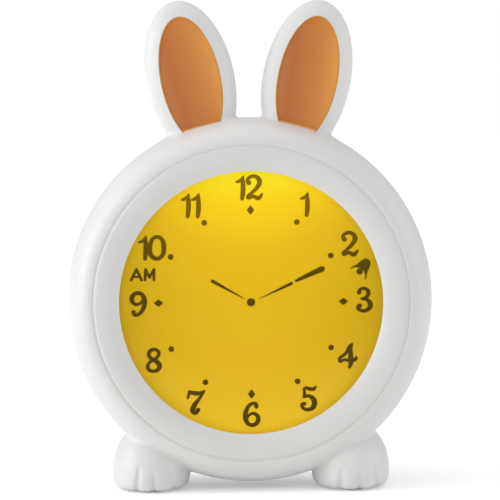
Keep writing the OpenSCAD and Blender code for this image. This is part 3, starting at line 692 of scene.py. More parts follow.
    @classmethod
    def cone(cls, name: str, r0: float, r1: float, z0: float, z1: float, stretch: float = 0) -> Piece:
        """A cylinder or cone frustum along z, drawn out along x.

        Args:
            name: The piece's name.
            r0: Its radius at z0.
            r1: Its radius at z1.
            z0: Its lower end.
            z1: Its upper end.
            stretch: How far its two halves stand apart, with flat sides between them.

        Returns:
            The piece.
        """
        sides = 64
        size = {"vertices": sides, "radius1": r0, "radius2": r1, "depth": z1 - z0}
        middle = (0, 0, (z0 + z1) / 2)
        piece = cls.primitive("cone", name, **size, location=middle, rotation=(0, 0, math.pi / sides))
        cls.move(piece, Matrix.Identity(4))
        for vertex in piece.data.vertices:
            vertex.co.x += math.copysign(stretch / 2, vertex.co.x)
        return piece

    @classmethod
    def block(cls, name: str, size: Sequence[float], centre: Sequence[float]) -> Piece:
        """A plain block, used as a tool or a base."""
        return cls.primitive("cube", name, size=1, scale=size, location=centre)

    @classmethod
    def ball(cls, name: str, r: float, segments: int, rings: int, at: Sequence[float] = (0, 0, 0)) -> Piece:
        """A sphere, used as a tool or a base."""
        return cls.primitive("uv_sphere", name, segments=segments, ring_count=rings, radius=r, location=at)

    @classmethod
    def finish(
        cls,
        piece: Piece,
        slot: str,
        body: str = "clock_body",
        replaces: Sequence[str] = (),
        coat: Finish | None = None,
    ) -> None:
        """Settles a piece in the row frame, shades it, dresses it and lets it ride.

        Args:
            piece: The modelled piece, in the dial frame in millimetres.
            slot: The record's material slot.
            body: The body that it moves with.
            replaces: The frame's nodes that it stands for.
            coat: Its finish, where it isn't the slot's own.
        """
        cls.take(cls.move(piece, CLOCK.to_row()))
        bpy.ops.object.shade_smooth_by_angle(angle=math.radians(SHARP))
        piece.data.materials.clear()
        piece.data.materials.append((coat or Slot[slot.upper()].value).material())
        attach(piece, body)
        if replaces:
            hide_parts(*replaces)
        log.info("%s: %d faces, rides on %s", piece.name, len(piece.data.polygons), body)


# Case ----------------------------------------------------------------------------------------------


def ellipsoid_distance(points: np.ndarray, axes: np.ndarray) -> np.ndarray:
    """How far points lie outside an ellipsoid at the origin, exact at its surface.

    Args:
        points: One point per row.
        axes: The half axes, for all points or one row for each.

    Returns:
        The distances, negative inside.
    """
    scaled = points / axes
    reach = np.linalg.norm(scaled, axis=1)
    slope = np.linalg.norm(scaled / axes, axis=1)
    return (reach - 1.0) * reach / np.maximum(slope, TINY)


def squared_distance(points: np.ndarray, axes: np.ndarray, power: float) -> np.ndarray:
    """How far points lie outside an ellipsoid whose upright outline is squared off.

    Args:
        points: One point per row, y up.
        axes: The half axes, one row for each point.
        power: 2 for an ellipse, more for squarer corners.

    Returns:
        The distances, negative inside.
    """
    flat = np.hypot(points[:, 0] / axes[:, 0], points[:, 2] / axes[:, 2])
    upright = np.abs(points[:, 1] / axes[:, 1])
    reach = (flat**power + upright**power) ** (1 / power)
    out = np.hypot(points[:, 0] / axes[:, 0] ** 2, points[:, 2] / axes[:, 2] ** 2) / np.maximum(flat, TINY)
    slope = np.hypot(flat ** (power - 1) * out, upright ** (power - 1) / axes[:, 1])
    return (reach - 1.0) * reach ** (power - 1) / np.maximum(slope, TINY)


def rolled_lip(r: float, z: float, width: float, drop: float) -> list[Point]:
    """A lip's outline: it rises by drop from a wall at radius r and rolls over, width further out, to z."""
    steps = 10
    return [(r + width * i / steps, z - drop * (1 - i / steps) ** 2) for i in range(steps + 1)]


def eased(first: np.ndarray, second: np.ndarray, reach: float) -> np.ndarray:
    """Joins two distances with a fillet that starts this far from the crease."""
    near = np.clip(reach - np.abs(first - second), 0.0, None) / reach
    return np.minimum(first, second) - near * near * reach / 4


@dataclass
class Paws:
    """The two paws in the dial frame, with four toes on each."""

    x: float = 38.4
    w: float = 29.8
    front: float = 17.3
    back: float = 27.0
    waist: float = 7.5
    rise: float = 18.0
    drop: float = 10.0
    sole: float = 0.4
    sole_ease: float = 2.2
    sole_power: float = 3.0
    groove_depth: float = 1.5
    groove_w: float = 1.1
    # Distance outwards from the paw's middle and height at which each groove runs out
    grooves: tuple[Point, ...] = ((-6.7, 9.2), (0.9, 9.8), (7.5, 11.0))
    groove_skew: float = 1.7
    # How much closer the grooves stand for each millimetre of height
    fan: float = 0.02

    def half_axes(self, local: np.ndarray) -> np.ndarray:
        """The half axes that hold for each point, above or below the waist and before or behind the joint.

        Args:
            local: One point per row, from the paw's middle.

        Returns:
            The half axes, one row for each point.
        """
        axes = np.empty_like(local)
        axes[:, 0] = self.w / 2
        axes[:, 1] = np.where(local[:, 1] > 0, self.rise, self.drop)
        axes[:, 2] = np.where(local[:, 2] > 0, self.front, self.back)
        return axes

    def distance(self, points: np.ndarray, side: int) -> np.ndarray:
        """How far points lie outside a paw.

        Args:
            points: One point per row, in the dial frame.
            side: LEFT or RIGHT.

        Returns:
            The distances, negative inside.
        """
        local = points - np.array([side * self.x, self.waist - CLOCK.dial_z, 0.0])
        axes = self.half_axes(local)
        below = squared_distance(local, axes, self.sole_power)
        out = np.where(local[:, 1] > 0, ellipsoid_distance(local, axes), below)
        height = local[:, 1] + self.waist
        fan = 1.0 - self.fan * height
        ahead = np.clip(local[:, 2], 0.0, None) / self.front
        dips = []
        for place, top in self.grooves:
            rise = np.clip((top - height) / top, 0.0, 1.0)
            aside = local[:, 0] / fan - side * place - self.groove_skew
            dips.append(np.sqrt(rise) * np.exp(-((aside / self.groove_w) ** 2)))
        out += self.groove_depth * ahead * np.max(dips, axis=0)
        sole = self.sole - height
        return -eased(-out, -sole, self.sole_ease)

    def rough(self, side: int) -> Piece:
        """Pulls a sphere to the paw's main form.

        Args:
            side: LEFT or RIGHT.

        Returns:
            The paw without its grooves.
        """
        piece = Bench.ball("paw", 1, 64, 32)
        co = np.array([vertex.co for vertex in piece.data.vertices])
        co = co * self.half_axes(co) + np.array([side * self.x, self.waist - CLOCK.dial_z, 0.0])
        co[:, 1] = np.maximum(co[:, 1], self.sole - CLOCK.dial_z)
        piece.data.vertices.foreach_set("co", co.ravel())
        return piece


@dataclass
class CaseForm:
    """The moulded outside of the case: round body, ears and paws that run into each other."""

    case_r: float = 70.0
    ring_w: float = 9.4
    front_depth: float = 17.0
    back_depth: float = 36.5
    flat_r: float = 48.0
    ear_ease: float = 2.0
    paw_ease: float = 1.3
    # How the surface is found: the passes, the step that measures its slope and the least slope squared
    passes: int = 8
    nudge: float = 0.01
    flattest: float = 0.05
    ears: Ears = Ears()
    paws: Paws = field(default_factory=Paws)

    @property
    def crest_r(self) -> float:
        """Radius at which the outer ring stands furthest forward."""
        return self.case_r - self.ring_w

    def body_distance(self, points: np.ndarray) -> np.ndarray:
        """How far points lie outside the round body.

        Args:
            points: One point per row, in the dial frame.

        Returns:
            The distances, negative inside.
        """
        radius = np.hypot(points[:, 0], points[:, 1])
        ahead = points[:, 2] > 0
        inner = np.where(ahead, self.crest_r, self.flat_r)
        section = np.stack([np.clip(radius - inner, 0.0, None), points[:, 2]], axis=1)
        axes = np.stack([self.case_r - inner, np.where(ahead, self.front_depth, self.back_depth)], axis=1)
        return ellipsoid_distance(section, axes)

    def ear_distance(self, points: np.ndarray, side: int) -> np.ndarray:
        """How far points lie outside an ear.

        Args:
            points: One point per row, in the dial frame.
            side: LEFT or RIGHT.

        Returns:
            The distances, negative inside.
        """
        back = np.array(self.ears.place(side).inverted())
        local = points @ back[:3, :3].T + back[:3, 3]
        return ellipsoid_distance(local, np.array([self.ears.w, self.ears.length, self.ears.t]) / 2)

    def distance(self, points: np.ndarray) -> np.ndarray:
        """How far points lie outside the whole case, with its creases eased.

        Args:
            points: One point per row, in the dial frame.

        Returns:
            The distances, negative inside.
        """
        out = self.body_distance(points)
        for side in (LEFT, RIGHT):
            out = eased(out, self.ear_distance(points, side), self.ear_ease)
        for side in (LEFT, RIGHT):
            out = eased(out, self.paws.distance(points, side), self.paw_ease)
        return out

    def body_outline(self, grow: float = 0.0, steps: int = 24) -> list[Point]:
        """The body's outline from its axis behind round to its axis in front.

        Args:
            grow: How far it stands outside the case.
            steps: Steps in each quarter.

        Returns:
            Points of radius and z.
        """
        quarter = [math.pi / 2 * i / steps for i in range(steps + 1)]
        bulge = self.case_r - self.flat_r + grow
        back = [(self.flat_r + bulge * math.sin(a), -(self.back_depth + grow) * math.cos(a)) for a in quarter]
        front = [
            (self.crest_r + (self.ring_w + grow) * math.cos(a), (self.front_depth + grow) * math.sin(a))
            for a in quarter[1:]
        ]
        return [(0.0, -self.back_depth - grow), *back, *front, (0.0, self.front_depth + grow)]

    def solid(self, name: str, wall: float, voxel: float) -> Piece:
        """Models the closed form, or the hollow that a wall leaves in it.

        Args:
            name: The piece's name.
            wall: How far inside the outside its surface lies.
            voxel: The size of its faces.

        Returns:
            The closed mesh.
        """
        parts = [Bench.turned(name, self.body_outline())]
        for side in (LEFT, RIGHT):
            parts.append(Bench.move(Bench.ball("ear", 1, 64, 32), self.ears.place(side) @ self.ears.half(0)))
            parts.append(self.paws.rough(side))
        piece = Bench.join(name, *parts)
        Bench.apply(piece, "REMESH", mode="VOXEL", voxel_size=voxel)
        self._pull(piece, wall, voxel)
        return piece

    def _pull(self, piece: Piece, wall: float, limit: float) -> None:
        """Pulls every vertex onto the eased surface that lies a wall's thickness inside.

        Args:
            piece: The remeshed piece.
            wall: The depth of the surface under the outside.
            limit: The furthest that a vertex moves in one step.
        """
        count = len(piece.data.vertices)
        co = np.empty(count * 3)
        piece.data.vertices.foreach_get("co", co)
        co = co.reshape(-1, 3)
        for _ in range(self.passes):
            out = self.distance(co) + wall
            rises = [self.distance(co + step) - self.distance(co - step) for step in np.eye(3) * self.nudge]
            slope = np.stack([rise / (2 * self.nudge) for rise in rises], axis=1)
            steep = np.maximum((slope**2).sum(axis=1), self.flattest)
            move = slope * (out / steep)[:, None]
            length = np.maximum(np.linalg.norm(move, axis=1), TINY)
            co -= move * np.minimum(1.0, limit / length)[:, None]
        piece.data.vertices.foreach_set("co", co.ravel())
        piece.data.update()


@dataclass
class BackPlate:
    """What opens in the flat back: battery bay, keys, slider, grille and power inlet."""

    back_z: float = -36.5
    wall: float = 2.2
    edge: float = 0.35
    gap: float = 0.2
    bay: Point = (50.2, 34.5)
    bay_y: float = -18.5
    bay_floor: float = -23.2
    bay_wall: float = 1.6
    door: Point = (53.8, 38.1)
    door_t: float = 2.0
    door_gap: float = 0.3
    door_play: float = 0.15
    tab_r: float = 3.6
    tab_y: float = 1.35
    boss_wall: float = 1.3
    pivot: Point = (-36.55, -35.5)
    pivot_r: float = 0.7
    key_r: float = 4.5
    key_y: float = 12.5
    lamp_key_l: float = 17.0
    key_xs: tuple[tuple[str, float], ...] = (
        ("lamp", 0.0), ("hour", -16.5), ("minute", 16.5), ("set", -30.5), ("alarm", 30.5)
    )
    slider: Point = (-30.8, 27.06)
    slider_slot: Point = (7.2, 3.4)
    slider_travel: float = 3.0
    speaker_y: float = 33.6
    hole_r: float = 0.9
    hole_pitch: float = 2.8
    hole_rings: int = 3
    # How far a tool stands past what it cuts
    past: float = 1.0
    socket: Point = (37.0, -14.0)
    socket_size: Point = (8.9, 3.2)

    def seat_z(self) -> float:
        """Depth at which the battery door rests."""
        return self.back_z + self.door_t + self.door_play

    def opening(
        self, name: str, r: float, depth: float, place: Point, stretch: float = 0, degrees: float = 0
    ) -> Piece:
        """A round or long tool that opens the back, with a chamfered mouth.

        Args:
            name: The tool's name.
            r: Its radius.
            depth: The z that it reaches.
            place: Its middle on the back.
            stretch: How much longer than wide it is.
            degrees: Its turn in degrees.

        Returns:
            The tool.
        """
        z = self.back_z
        rod = Bench.cone(name, r, r, z - self.past, depth, stretch)
        mouth = Bench.cone(name, r + self.edge * 2, r, z - self.edge, z + self.edge, stretch)
        return Bench.move(Bench.weld(rod, mouth), Matrix.Translation((*place, 0)) @ turn(degrees, "Z"))

    def cut(self, shell: Piece) -> None:
        """Adds the bay's walls to the rear shell and cuts every opening of the flat back.

        Args:
            shell: The hollow rear shell.
        """
        grow = 2 * (self.door_gap + self.bay_wall)
        inner = self.back_z + self.wall / 2
        rim = [size + grow for size in self.door]
        box = [size + 2 * self.bay_wall for size in self.bay]
        for (w, h), top in ((rim, self.seat_z() + self.bay_wall), (box, self.bay_floor + self.bay_wall)):
            Bench.weld(shell, Bench.block("bay", (w, h, top - inner), (0, self.bay_y, (top + inner) / 2)))
        boss_r = self.tab_r + self.boss_wall
        Bench.weld(shell, Bench.rod("boss", boss_r, inner, self.seat_z() + self.bay_wall, (0, self.tab_y)))
        mouth = [size + 2 * self.door_gap for size in self.door]
        for (w, h), top in ((mouth, self.seat_z()), (self.bay, self.bay_floor)):
            deep = top - self.back_z + self.past
            Bench.cut(shell, Bench.block("well", (w, h, deep), (0, self.bay_y, top - deep / 2)))
        tools = [self.opening("tab", self.tab_r + self.door_gap, self.seat_z(), (0, self.tab_y))]
        through = self.back_z + self.wall + self.past
        for name, x in self.key_xs:
            stretch = self.lamp_key_l - 2 * self.key_r if name == "lamp" else 0
            tools.append(self.opening("key", self.key_r + self.gap, through, (x, self.key_y), stretch))
        slot_l, slot_w = self.slider_slot
        tools.append(self.opening("slot", slot_w / 2, through, self.slider, slot_l - slot_w))
        long, wide = (size + 2 * self.gap for size in self.socket_size)
        tools.append(self.opening("inlet", wide / 2, through, self.socket, long - wide, 90))
        # The loudspeaker's holes stand in hexagonal rings, six more in each
        for ring in range(self.hole_rings + 1):
            for step in range(max(1, 6 * ring)):
                angle = math.radians(60 * step / max(1, ring))
                r = ring * self.hole_pitch
                place = (r * math.cos(angle), self.speaker_y + r * math.sin(angle))
                tools.append(self.opening("sound_hole", self.hole_r, through, place))
        Bench.cut(shell, Bench.join("openings", *tools))


@dataclass
class CaseShells:
    """Front and rear shells, cut from one moulded form."""

    wall: float = 2.2
    joint_gap: float = 0.12
    shelf_z: float = 12.8
    well_r: float = 60.02
    lip: Point = (1.1, 0.45)
    hole_r: float = 53.4
    tongue: tuple[float, float] = (66.4, 67.75)
    tongue_z: Point = (-1.6, 3.0)
    post_r: float = 62.6
    post_angles: tuple[int, ...] = (45, 135, 225, 315)
    tower_r: float = 4.4
    tower_top: float = -5.0
    tower_floor: float = 3.0
    head_r: float = 2.8
    face: float = 0.7
    hollow_face: float = 1.4
    shelf_r: float = 30.0
    # Where the cut of the dial opening starts, and where cuts end before and behind the case
    opening_z: float = -5.0
    ahead: float = 30.0
    behind: float = -60.0
    form: CaseForm = field(default_factory=CaseForm)

    def build(self) -> None:
        """Models both shells and dresses them."""
        outer = self.form.solid("case_outside", 0.0, self.face)
        inner = self.form.solid("case_inside", self.wall, self.hollow_face)
        self._front(Bench.copy(outer, "front_shell"), Bench.copy(inner, "front_hollow"))
        self._rear(outer, inner)

    def _half(self, piece: Piece, sign: int) -> Piece:
        """Keeps the half of a piece before (1) or behind (-1) the shell joint.

        Args:
            piece: The whole form.
            sign: Which half stays.

        Returns:
            The half.
        """
        width = 400.0
        depth = 80.0
        centre = (0, 0, sign * (self.joint_gap / 2 + depth / 2))
        return Bench.trim(piece, Bench.block("half", (width, width, depth), centre))

    def _front(self, shell: Piece, hollow: Piece) -> None:
        """Hollows the front shell and cuts the bezel's well, the dial opening and the lamp windows.

        Args:
            shell: A copy of the whole outside.
            hollow: A copy of the whole inside.
        """
        shell = self._half(shell, 1)
        shelf_w, shelf_z = self.form.crest_r + self.wall, self.shelf_z - self.wall
        Bench.cut(hollow, Bench.ring("shelf", self.shelf_r, shelf_w, shelf_z, self.ahead))
        Bench.cut(shell, hollow)
        Bench.cut(shell, Bench.turned("well", self._well_outline(), 256))
        Bench.cut(shell, Bench.rod("opening", self.hole_r, self.opening_z, self.ahead, sides=192))
        ears = self.form.ears
        for side in (LEFT, RIGHT):
            window = Bench.rod("window", 1, -ears.t, ears.t, sides=160)
            Bench.move(window, ears.place(side) @ Matrix.Translation((0, 0, ears.t)) @ ears.window(0))
            Bench.cut(window, Bench.turned("body", self.form.body_outline()))
            Bench.cut(shell, window)
        Bench.weld(shell, Bench.ring("tongue", *self.tongue, *self.tongue_z))
        Bench.finish(shell, "white_abs", replaces=["front_housing"])

    def _well_outline(self) -> list[Point]:
        """The outline of the bezel's well, with a rounded lip.

        Returns:
            Points of radius and z.
        """
        w, h = self.lip
        lip = rolled_lip(self.well_r, self.form.front_depth, w, h)
        floor = [(0, self.shelf_z), (self.well_r, self.shelf_z)]
        return [*floor, *lip, (self.well_r + w, self.ahead), (0, self.ahead)]

    def _rear(self, shell: Piece, hollow: Piece) -> None:
        """Hollows the rear shell, adds what stands in it and cuts its openings.

        Args:
            shell: The whole outside.
            hollow: The whole inside.
        """
        shell = self._half(shell, -1)
        solid = Bench.copy(shell, "rear_solid")
        Bench.cut(shell, hollow)
        angles = [math.radians(a) for a in self.post_angles]
        places = [(self.post_r * math.cos(a), self.post_r * math.sin(a)) for a in angles]
        towers = [Bench.rod("tower", self.tower_r, self.behind, self.tower_top, place) for place in places]
        Bench.weld(shell, Bench.trim(Bench.join("towers", *towers), solid))
        head_z = self.tower_top - self.tower_floor
        for place in places:
            Bench.cut(shell, Bench.rod("well", self.head_r, self.behind, head_z, place))
        BackPlate().cut(shell)
        shell.name = shell.data.name = "rear_shell"
        Bench.finish(shell, "white_abs", replaces=["rear_housing"])


@dataclass
class RearControls:
    """Keys, alarm slider and battery door on the back."""

    proud: float = 1.0
    edge: float = 0.45
    dish: float = 0.35
    flange: float = 1.0
    flange_z: tuple[float, float] = (-34.2, -33.2)
    stem_z: float = -31.4
    stem_r: float = 2.0
    knob: Point = (3.6, 3.0)
    knob_edge: float = 0.3
    knob_grooves: tuple[float, ...] = (-0.7, 0.0, 0.7)
    knob_groove_r: float = 0.18
    knob_groove_l: float = 4.0
    plate: Point = (11.2, 5.4)
    door_edge: float = 0.3
    # Finger grooves of the door: how many, the first one's height, and their pitch, radius, depth and length
    grip_count: int = 4
    grip_y: float = -5.0
    grip_pitch: float = 1.8
    grip_r: float = 0.45
    grip_depth: float = 0.4
    grip_l: float = 17.0
    screw_hole_r: float = 1.55
    screw_head_r: float = 2.8
    screw_seat_t: float = 1.0
    back: BackPlate = field(default_factory=BackPlate)

    def build(self) -> None:
        """Models every control at rest."""
        for name, x in self.back.key_xs:
            stretch = self.back.lamp_key_l - 2 * self.back.key_r if name == "lamp" else 0.0
            self._key(name, x, stretch)
        self._slider()
        self._door()

    def _cap(self, name: str, r: float, z0: float, z1: float, stretch: float, edge: float) -> Piece:
        """A round or long cap from z0 to z1, with both rims rounded by edge and its halves drawn apart."""
        return Bench.round_rim(Bench.cone(name, r, r, z0, z1, stretch), edge, 4)

    def _key(self, name: str, x: float, stretch: float) -> None:
        """A key with a dished face, a flange that keeps it in and a stem to its switch.

        Args:
            name: What it is for.
            x: Its place across the back.
            stretch: How much longer than wide it is.
        """
        r = self.back.key_r
        top = self.back.back_z - self.proud
        key = self._cap(f"{name}_key_cap", r, top, self.flange_z[1], stretch, self.edge)
        Bench.weld(key, Bench.cone("flange", r + self.flange, r + self.flange, *self.flange_z, stretch))
        Bench.weld(key, Bench.rod("stem", self.stem_r, self.flange_z[0], self.stem_z, sides=32))
        reach = r - 2 * self.edge
        ball_r = (reach**2 + self.dish**2) / (2 * self.dish)
        ball = Bench.ball("dish", ball_r, 96, 64)
        Bench.move(ball, Matrix.Translation((0, 0, top + self.dish - ball_r)))
        # The ball's halves stand apart, and what lies on its middle plane stays there
        middle = 1e-4
        for vertex in ball.data.vertices:
            vertex.co.x += math.copysign(stretch / 2, vertex.co.x) if abs(vertex.co.x) > middle else 0.0
        Bench.cut(key, ball)
        Bench.move(key, Matrix.Translation((x, self.back.key_y, 0)))
        Bench.finish(key, "key_abs", f"{name}_key_body", [f"{name}_key"])

    def _slider(self) -> None:
        """The alarm slider: a ridged knob on a plate that rides behind the slot."""
        long, wide = self.knob
        x, y = self.back.slider
        top = self.back.back_z - self.proud
        knob = self._cap("alarm_slider_knob", wide / 2, top, self.flange_z[1], long - wide, self.knob_edge)
        reach = self.knob_groove_l / 2
        for offset in self.knob_grooves:
            groove = Bench.rod("groove", self.knob_groove_r, -reach, reach, sides=12)
            Bench.cut(knob, Bench.move(groove, Matrix.Translation((offset, 0, top)) @ turn(90, "X")))
        low, high = self.flange_z
        Bench.weld(knob, Bench.block("plate", (*self.plate, high - low), (0, 0, (low + high) / 2)))
        Bench.move(knob, Matrix.Translation((x - self.back.slider_travel / 2, y, 0)))
        Bench.finish(knob, "slider_abs", "alarm_slider_body", ["alarm_slider"])

    def _door(self) -> None:
        """The battery door: a flat cover with a hinge barrel, finger grooves and a tab for its screw."""
        back = self.back
        w, h = back.door
        pivot_y, pivot_z = back.pivot
        inner = back.back_z + back.door_t
        top = back.bay_y + h / 2
        middle = ((pivot_y + top) / 2, (back.back_z + inner) / 2)
        cover = Bench.block("battery_cover", (w, top - pivot_y, back.door_t), (0, *middle))
        tab_at = (0, back.tab_y)
        Bench.weld(cover, Bench.rod("tab", back.tab_r, back.back_z, inner, tab_at))
        across = Matrix.Translation((0, pivot_y, pivot_z)) @ turn(90, "Y")
        Bench.weld(cover, Bench.move(Bench.rod("barrel", back.door_t / 2, -w / 2, w / 2, sides=48), across))
        Bench.round_rim(cover, self.door_edge, 3)
        reach = w / 2 + back.door_gap + back.bay_wall
        Bench.weld(cover, Bench.move(Bench.rod("pin", back.pivot_r, -reach, reach, sides=32), across))
        grip_r = self.grip_r
        for step in range(self.grip_count):
            groove = Bench.cone("groove", grip_r, grip_r, -self.grip_depth, self.grip_depth, self.grip_l)
            at = Matrix.Translation((0, self.grip_y - self.grip_pitch * step, back.back_z))
            Bench.cut(cover, Bench.move(groove, at))
        holes = ((self.screw_hole_r, inner + back.past), (self.screw_head_r, inner - self.screw_seat_t))
        for r, depth in holes:
            Bench.cut(cover, Bench.rod("hole", r, back.back_z - back.past, depth, tab_at, sides=48))
        Bench.finish(cover, "white_abs", "battery_door_body", ["battery_door"])


@dataclass
class DialBezel:
    """The bezel round the dial: a narrow flat crest, then a curve that falls to the window."""

    dial_r: float = 50.2
    outer_r: float = 60.1
    shelf_z: float = 12.8
    top_z: float = 17.3
    edge: Point = (1.4, 0.75)
    crest_w: float = 1.0
    slope: float = 42.0
    foot: float = 0.25

    def outline(self) -> list[Point]:
        """The bezel's closed section, from its foot inside round over the crest.

        Returns:
            Points of radius and z.
        """
        w, h = self.edge
        outer = rolled_lip(self.outer_r, self.top_z, -w, h)
        start = self.outer_r - w - self.crest_w
        bend_r = (start - self.dial_r) / math.sin(math.radians(self.slope))
        steps = 24
        bend = [math.radians(self.slope) * i / steps for i in range(steps + 1)]
        fall = [(start - bend_r * math.sin(a), self.top_z - bend_r * (1 - math.cos(a))) for a in bend]
        r, z = fall[-1]
        return [(r, self.shelf_z), (self.outer_r, self.shelf_z), *outer, *fall, (r, z - self.foot)]

    def build(self) -> None:
        """Turns the bezel and dresses it."""
        piece = Bench.turned("dial_bezel_ring", self.outline(), 256)
        Bench.finish(piece, "bezel_abs", replaces=["dial_bezel"])


@dataclass
class LampWindows:
    """The amber windows in the ears: shallow domes that follow the ear, cut by its rim and by the body."""

    sink: float = 0.6
    t: float = 2.2
    gap: float = 0.03
    line_w: float = 0.42
    plug_l: float = 30.0
    plug_z: float = 15.5
    ears: Ears = Ears()

    def build(self) -> None:
        """Models both windows, each with a painted highlight: a glowing line along the lens's edge."""
        for side, name, amber in ((LEFT, "left", LAMP_LEFT), (RIGHT, "right", Slot.AMBER_LAMP.value)):
            place = self.ears.place(side)
            # The painted highlight's glowing line along the lens's edge
            line = self._dome("painted_edge_line", place, self.sink)
            Bench.trim(line, self._plug(place, self.gap))
            lens = Bench.copy(line, f"lamp_window_{name}")
            Bench.cut(line, self._plug(place, self.gap + self.line_w))
            Bench.trim(lens, self._plug(place, self.gap + self.line_w))
            for piece, coat in ((lens, amber), (line, PAINTED_EDGE_GLOW)):
                Bench.cut(piece, self._dome("hollow", place, self.sink + self.t))
                piece.data.materials.clear()
                piece.data.materials.append(coat.material())
            Bench.join(lens.name, lens, line)
            rim = [face.index for face in lens.data.polygons if face.material_index == 1]
            Bench.finish(lens, "amber_lamp", replaces=[f"ear_lens_{name}"], coat=amber)
            lens.data.materials.append(PAINTED_EDGE_GLOW.material())
            for index in rim:
                lens.data.polygons[index].material_index = 1

    def _plug(self, place: Matrix, gap: float) -> Piece:
        """The window's opening made smaller all round, the body's side included.

        Args:
            place: The ear's place.
            gap: How much smaller it is.

        Returns:
            The closed mesh.
        """
        plug = Bench.rod("plug", 1, -self.plug_l / 2, self.plug_l / 2, sides=160)
        Bench.move(plug, place @ Matrix.Translation((0, 0, self.plug_z)) @ self.ears.window(gap))
        return Bench.cut(plug, Bench.turned("body", CaseForm().body_outline(gap)))

    def _dome(self, name: str, place: Matrix, depth: float) -> Piece:
        """An ellipsoid this deep under the ear's outside, with its poles at the ear's tip and root."""
        return Bench.move(Bench.ball(name, 1, 128, 96), place @ self.ears.half(depth) @ turn(90, "X"))


@dataclass
class FootPads:
    """Four rubber pads with rounded rims, let into the soles."""

    r: float = 4.5
    t: float = 0.8
    sink: float = 0.6
    edge: float = 0.3
    places: tuple[float, ...] = (7.0, -14.0)
    paws: Paws = field(default_factory=Paws)

    def build(self) -> None:
        """Models the pads, two under each paw, and joins them into one piece."""
        pads = []
        for side in (LEFT, RIGHT):
            for z in self.places:
                pad = Bench.rod("pad", self.r, -self.t - self.sink, 0, sides=48)
                Bench.round_rim(pad, self.edge, 3)
                at = Matrix.Translation((side * self.paws.x, -CLOCK.dial_z, z))
                pads.append(Bench.move(pad, at @ turn(90, "X")))
        Bench.finish(Bench.join("rubber_pads", *pads), "pad_rubber", replaces=["foot_pads"])


# Dial print ----------------------------------------------------------------------------------------

# Strokes of the numerals in a box one unit high: x, y and half the pen's width at each point.
NUMERALS: dict[str, list[Stroke]] = {
    "0": [[(0.0, 0.5, 0.07), (0.16, 0.9, 0.06), (0.42, 0.93, 0.06), (0.58, 0.5, 0.08), (0.42, 0.06, 0.06),
           (0.14, 0.08, 0.07), (0.0, 0.45, 0.075), (0.06, 0.75, 0.06)]],
    "1": [[(0.0, 0.74, 0.04), (0.1, 0.77, 0.05), (0.2, 0.85, 0.05), (0.27, 0.97, 0.035)],
          [(0.25, 0.9, 0.05), (0.26, 0.6, 0.075), (0.25, 0.25, 0.075), (0.22, 0.02, 0.06)]],
    "2": [[(0.09, 0.7, 0.075), (0.03, 0.8, 0.055), (0.14, 0.95, 0.055), (0.38, 0.96, 0.06), (0.52, 0.76, 0.08),
           (0.42, 0.5, 0.065), (0.18, 0.24, 0.05), (0.04, 0.06, 0.05), (0.25, 0.12, 0.055), (0.48, 0.04, 0.07),
           (0.62, 0.2, 0.04)]],
    "3": [[(0.1, 0.82, 0.07), (0.16, 0.95, 0.05), (0.38, 0.96, 0.055), (0.48, 0.8, 0.07), (0.38, 0.6, 0.055),
           (0.2, 0.54, 0.04)],
          [(0.2, 0.54, 0.04), (0.44, 0.48, 0.06), (0.56, 0.27, 0.085), (0.42, 0.05, 0.06), (0.16, 0.04, 0.055),
           (0.04, 0.17, 0.055), (0.13, 0.24, 0.07)]],
    "4": [[(0.5, 1.0, 0.045), (0.42, 0.86, 0.085), (0.26, 0.62, 0.05), (0.0, 0.27, 0.05), (0.2, 0.32, 0.045),
           (0.45, 0.28, 0.055), (0.66, 0.36, 0.06), (0.68, 0.44, 0.035)],
          [(0.44, 0.8, 0.06), (0.45, 0.45, 0.08), (0.45, 0.15, 0.075), (0.4, 0.0, 0.05)]],
    "5": [[(0.58, 1.0, 0.045), (0.5, 0.92, 0.06), (0.34, 0.93, 0.06), (0.14, 0.96, 0.045), (0.13, 0.76, 0.05),
           (0.1, 0.57, 0.04)],
          [(0.1, 0.57, 0.04), (0.3, 0.62, 0.055), (0.52, 0.42, 0.085), (0.5, 0.16, 0.08), (0.28, 0.02, 0.055),
           (0.05, 0.12, 0.05), (0.04, 0.24, 0.065), (0.13, 0.28, 0.06)]],
    "6": [[(0.48, 0.83, 0.07), (0.46, 0.95, 0.05), (0.26, 0.93, 0.055), (0.06, 0.62, 0.07), (0.04, 0.3, 0.08),
           (0.2, 0.04, 0.06), (0.44, 0.06, 0.065), (0.56, 0.28, 0.075), (0.44, 0.5, 0.055), (0.24, 0.5, 0.045),
           (0.12, 0.36, 0.04)]],
    "7": [[(0.0, 0.68, 0.04), (0.04, 0.82, 0.05), (0.08, 0.96, 0.045)],
          [(0.06, 0.93, 0.05), (0.28, 0.88, 0.07), (0.48, 0.88, 0.06), (0.68, 0.97, 0.035)],
          [(0.68, 0.97, 0.035), (0.44, 0.6, 0.055), (0.24, 0.3, 0.08), (0.2, 0.1, 0.08), (0.3, 0.03, 0.065),
           (0.42, 0.15, 0.065)]],
    "8": [[(0.5, 0.86, 0.05), (0.32, 0.97, 0.055), (0.1, 0.84, 0.06), (0.12, 0.64, 0.06), (0.4, 0.44, 0.075),
           (0.52, 0.22, 0.075), (0.3, 0.02, 0.055), (0.04, 0.16, 0.06), (0.1, 0.38, 0.05), (0.38, 0.58, 0.05),
           (0.5, 0.78, 0.055), (0.48, 0.88, 0.05)]],
    "9": [[(0.1, 0.14, 0.07), (0.12, 0.03, 0.05), (0.32, 0.06, 0.055), (0.52, 0.36, 0.07), (0.54, 0.7, 0.08),
           (0.38, 0.95, 0.06), (0.14, 0.92, 0.065), (0.03, 0.7, 0.075), (0.14, 0.5, 0.055), (0.34, 0.5, 0.045),
           (0.48, 0.66, 0.04)]],
}


